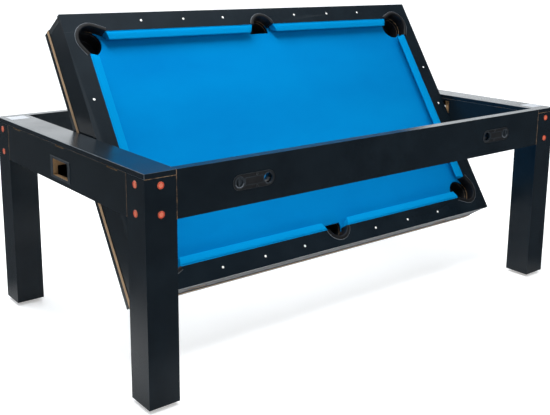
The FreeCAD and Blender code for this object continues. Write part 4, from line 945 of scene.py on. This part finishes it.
def make_joint_edges():
    """Slivers of raw board where the legs meet the aprons, the end panels and the top boards."""
    strips = Shape()
    half = 0.0008                       # of a strip's width
    skin = 0.00025                      # how far it stands out
    count = 24

    def strip(start, finish, across, outward):
        """A low ridge between two points, narrower in places where the foil has held."""
        section = [(-half, -skin), (-half, skin * 0.6), (0, skin), (half, skin * 0.6), (half, -skin)]
        path = []
        for step in range(count + 1):
            width = 0.75 + 0.25 * math.sin(step * 2.3)
            point = Vector(start).lerp(Vector(finish), step / count)
            path.append((point, Vector(across) * width, Vector(outward)))
        strips.swept(path, section)

    under_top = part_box("end_top_left")[0].z
    for side_name, side in SIDES:
        for end_name, end in ENDS:
            low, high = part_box("leg_%s_%s" % (side_name, end_name))
            inner_x = high.x if end < 0 else low.x
            outer_x = low.x if end < 0 else high.x
            inner_y = high.y if side < 0 else low.y
            outer_y = low.y if side < 0 else high.y
            panel_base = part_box("end_panel_outer_" + end_name)[0].z
            apron_low, apron_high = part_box("side_apron_" + side_name)
            strip((outer_x, inner_y, panel_base), (outer_x, inner_y, under_top), (0, 1, 0), (end, 0, 0))
            strip((inner_x, outer_y, apron_low.z), (inner_x, outer_y, apron_high.z), (1, 0, 0), (0, side, 0))
            strip((inner_x, outer_y, under_top), (outer_x, outer_y, under_top), (0, 0, 1), (0, side, 0))
    strips.piece("joint_edges", [JOINT_EDGE], "frame")


# each label's middle, half length and half width
LABELS = (((-1.008, 0.536), 0.038, 0.035), ((1.022, -0.521), 0.038, 0.0365))
LABEL_CORNER = 0.004
LABEL_THICKNESS = 0.0002


def make_labels():
    """Blank pale labels on the end tops."""
    labels = Shape()
    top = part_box("end_top_left")[1].z
    for middle, half_length, half_width in LABELS:
        edge = [point for point, _ in rounded_rectangle(middle, half_length, half_width, LABEL_CORNER, 5)]
        count = len(edge)
        vertices = [(point.x, point.y, top + height) for height in (0.0, LABEL_THICKNESS) for point in edge]
        labels.add(vertices, [tuple(range(count, 2 * count))] + band(count))
    labels.piece("blank_labels", [LABEL_PAPER], "frame")


RAIL_COVER = 0.085                      # how much of the hockey bed's edge its rails hide
HOLE_PITCH = 0.05
AIR_HOLE = [(0.0016, 0), (0.0013, 0.00012), (0.0007, 0.00004)]
LINE_SECTION = [(-0.005, 0), (-0.0048, 0.0001), (0.0048, 0.0001), (0.005, 0)]
CROSS_LINES = (-0.3, 0, 0.3)
CIRCLE_RADIUS = 0.12


def make_hockey_markings():
    """Air holes as shallow dark discs of painted shade, and plain playing lines on the hockey side."""
    low, high = level_box("hockey_bed")
    under = low.z
    half_length = high.x - RAIL_COVER
    half_width = high.y - RAIL_COVER
    down = -UP
    holes = Shape()
    rows = int(half_width / HOLE_PITCH)
    columns = int(half_length / HOLE_PITCH)
    for row in range(-rows, rows + 1):
        for column in range(-columns, columns + 1):
            holes.turned((column * HOLE_PITCH, row * HOLE_PITCH, under), down, AIR_HOLE, 8)
    holes.piece("air_holes", [PAINTED_SHADE_DARK], "playing_box", level=True)

    lines = Shape()
    for x in CROSS_LINES:
        path = [(Vector((x, -half_width + 2 * half_width * step / 12, under)), Vector((1, 0, 0)), down)
                for step in range(13)]
        lines.swept(path, LINE_SECTION)
    for x, start, finish in ((0, 0, 360), (-half_length, -90, 90), (half_length, 90, 270)):
        centre = Vector((x, 0))
        path = [(Vector((point.x, point.y, under)), (point - centre).normalized().to_3d(), down)
                for point in arc(centre, CIRCLE_RADIUS, start, finish, 40)]
        lines.swept(path, LINE_SECTION)
    lines.piece("playing_lines", [RED_INK], "playing_box", level=True)


make_pocket_liners()
make_bed_shade_sleeves()
make_playing_cloth()
make_cushions()
make_sights()
make_bolt_caps()
make_latch_trims()
make_latch_lip_highlights()
make_latch_screw_heads()
make_joint_edges()
make_labels()
make_hockey_markings()


# ---- Stage: floor, light and camera ----
FLOOR_HALF = 40.0
CAMERA_GLOW = 0.36                      # lifts the floor to the white behind it, for camera rays only
SHEET_SHAPE = (0.85, 1.15, 1)           # the pale part of the floor is longer than it is wide
SHEET_EDGE = (0.95, 1.35)               # where it starts to darken, and where it is dark


def make_stage():
    """A pale floor, lifted towards white for the camera. In reflections only the part under the table
    is pale, as with a sheet in a dark studio."""
    make = Surface("floor_paint")
    paint = make.ramp(make.noise(3, 3), [(0.3, (0.89, 0.89, 0.89)), (0.7, (0.92, 0.92, 0.92))])
    make.feed(Base_Color=paint)
    make.bumps(make.noise(200, 3), 0.0002, 0.2)
    make.set(Roughness=0.95, Specular_IOR_Level=0.05, Emission_Color=(1.0, 1.0, 1.0))
    distance = make.node("VectorMath")
    distance.operation = "LENGTH"
    make.link(make.stretched(SHEET_SHAPE), distance.inputs[0])
    outside = make.spread(distance.outputs["Value"], 0, 1, *SHEET_EDGE)
    dark = make.node("BsdfDiffuse", Color=(0.1, 0.105, 0.11, 1))
    rays = make.node("LightPath")
    make.feed(Emission_Strength=make.maths("MULTIPLY", rays.outputs["Is Camera Ray"], CAMERA_GLOW))
    blend = make.node("MixShader")
    make.link(make.maths("MULTIPLY", rays.outputs["Is Glossy Ray"], outside), blend.inputs["Fac"])
    make.link(make.shader.outputs["BSDF"], blend.inputs[1])
    make.link(dark.outputs["BSDF"], blend.inputs[2])
    make.link(blend.outputs["Shader"], make.tree.nodes["Material Output"].inputs["Surface"])
    mesh = bpy.data.meshes.new("floor")
    corners = [(-FLOOR_HALF, -FLOOR_HALF, 0), (FLOOR_HALF, -FLOOR_HALF, 0),
               (FLOOR_HALF, FLOOR_HALF, 0), (-FLOOR_HALF, FLOOR_HALF, 0)]
    mesh.from_pydata(corners, [], [(0, 1, 2, 3)])
    mesh.materials.append(make.material)
    floor = placed("floor", mesh)


# axis, height where the light starts, height where it is full, and strength
OVERHEAD_GLOW = ("Z", 0.62, 0.82, 1.15)
BACKDROP_GLOW = ("Y", 0.15, 0.7, 1.5)
DIM_GLOW = 0.12


def make_world():
    """White behind the table. As a light it is bright overhead and at the far side, and is else dim."""
    world = bpy.data.worlds.new("studio")
    world.use_nodes = True
    bpy.context.scene.world = world
    tree = world.node_tree
    link = tree.links.new
    back = tree.nodes["Background"]
    white = new_node(tree, "Background", Color=(1, 1, 1, 1))
    coordinates = new_node(tree, "TexCoord")
    parts = new_node(tree, "SeparateXYZ")
    link(coordinates.outputs["Generated"], parts.inputs["Vector"])

    def term(axis, start, end, amount):
        node = new_node(tree, "MapRange", From_Min=start, From_Max=end, To_Max=amount)
        node.interpolation_type = "SMOOTHSTEP"
        link(parts.outputs[axis], node.inputs["Value"])
        return node.outputs["Result"]

    total = new_node(tree, "Math")
    link(term(*OVERHEAD_GLOW), total.inputs[0])
    link(term(*BACKDROP_GLOW), total.inputs[1])
    lifted = new_node(tree, "Math")
    link(total.outputs["Value"], lifted.inputs[0])
    lifted.inputs[1].default_value = DIM_GLOW
    link(lifted.outputs["Value"], back.inputs["Strength"])
    back.inputs["Color"].default_value = (0.93, 0.97, 1.0, 1)
    rays = new_node(tree, "LightPath")
    blend = new_node(tree, "MixShader")
    link(rays.outputs["Is Camera Ray"], blend.inputs["Fac"])
    link(back.outputs["Background"], blend.inputs[1])
    link(white.outputs["Background"], blend.inputs[2])
    link(blend.outputs["Shader"], tree.nodes["World Output"].inputs["Surface"])


def softbox(name, place, aim, size, power):
    """A rectangular lamp aimed at a point, and kept out of reflections."""
    lamp = bpy.data.lights.new(name, "AREA")
    lamp.shape = "RECTANGLE"
    lamp.size, lamp.size_y = size
    lamp.energy = power
    thing = placed(name, lamp)
    thing.location = place
    thing.visible_glossy = False
    thing.rotation_euler = (Vector(aim) - Vector(place)).to_track_quat("-Z", "Y").to_euler()


CAMERA_PLACE = (-2.270, -2.763, 1.417)
CAMERA_ANGLES = (38.425, 11.862, 0.507)     # heading, dip and roll in degrees
CAMERA_LENS = 54.33
CAMERA_SHIFT = -0.12


def make_camera():
    """The camera looks at the table over its near left corner, from about standing height."""
    data = bpy.data.cameras.new("camera")
    data.sensor_width = 36.0
    data.lens = CAMERA_LENS
    data.shift_y = CAMERA_SHIFT
    camera = placed("camera", data)
    camera.location = CAMERA_PLACE
    heading, dip, roll = map(math.radians, CAMERA_ANGLES)
    forward = Vector((math.sin(heading) * math.cos(dip), math.cos(heading) * math.cos(dip), -math.sin(dip)))
    camera.rotation_mode = "QUATERNION"
    camera.rotation_quaternion = forward.to_track_quat("-Z", "Y") @ Quaternion((0, 0, 1), roll)
    bpy.context.scene.camera = camera


bpy.context.scene.view_settings.view_transform = "Standard"
make_stage()
make_world()
softbox("overhead", place=(-0.9, -0.3, 3.4), aim=(-0.2, 0, 0.9), size=(2.4, 0.8), power=100)
softbox("front", place=(0.9, -3.6, 2.2), aim=(0, 0, 0.8), size=(2.6, 1.4), power=38)
make_camera()
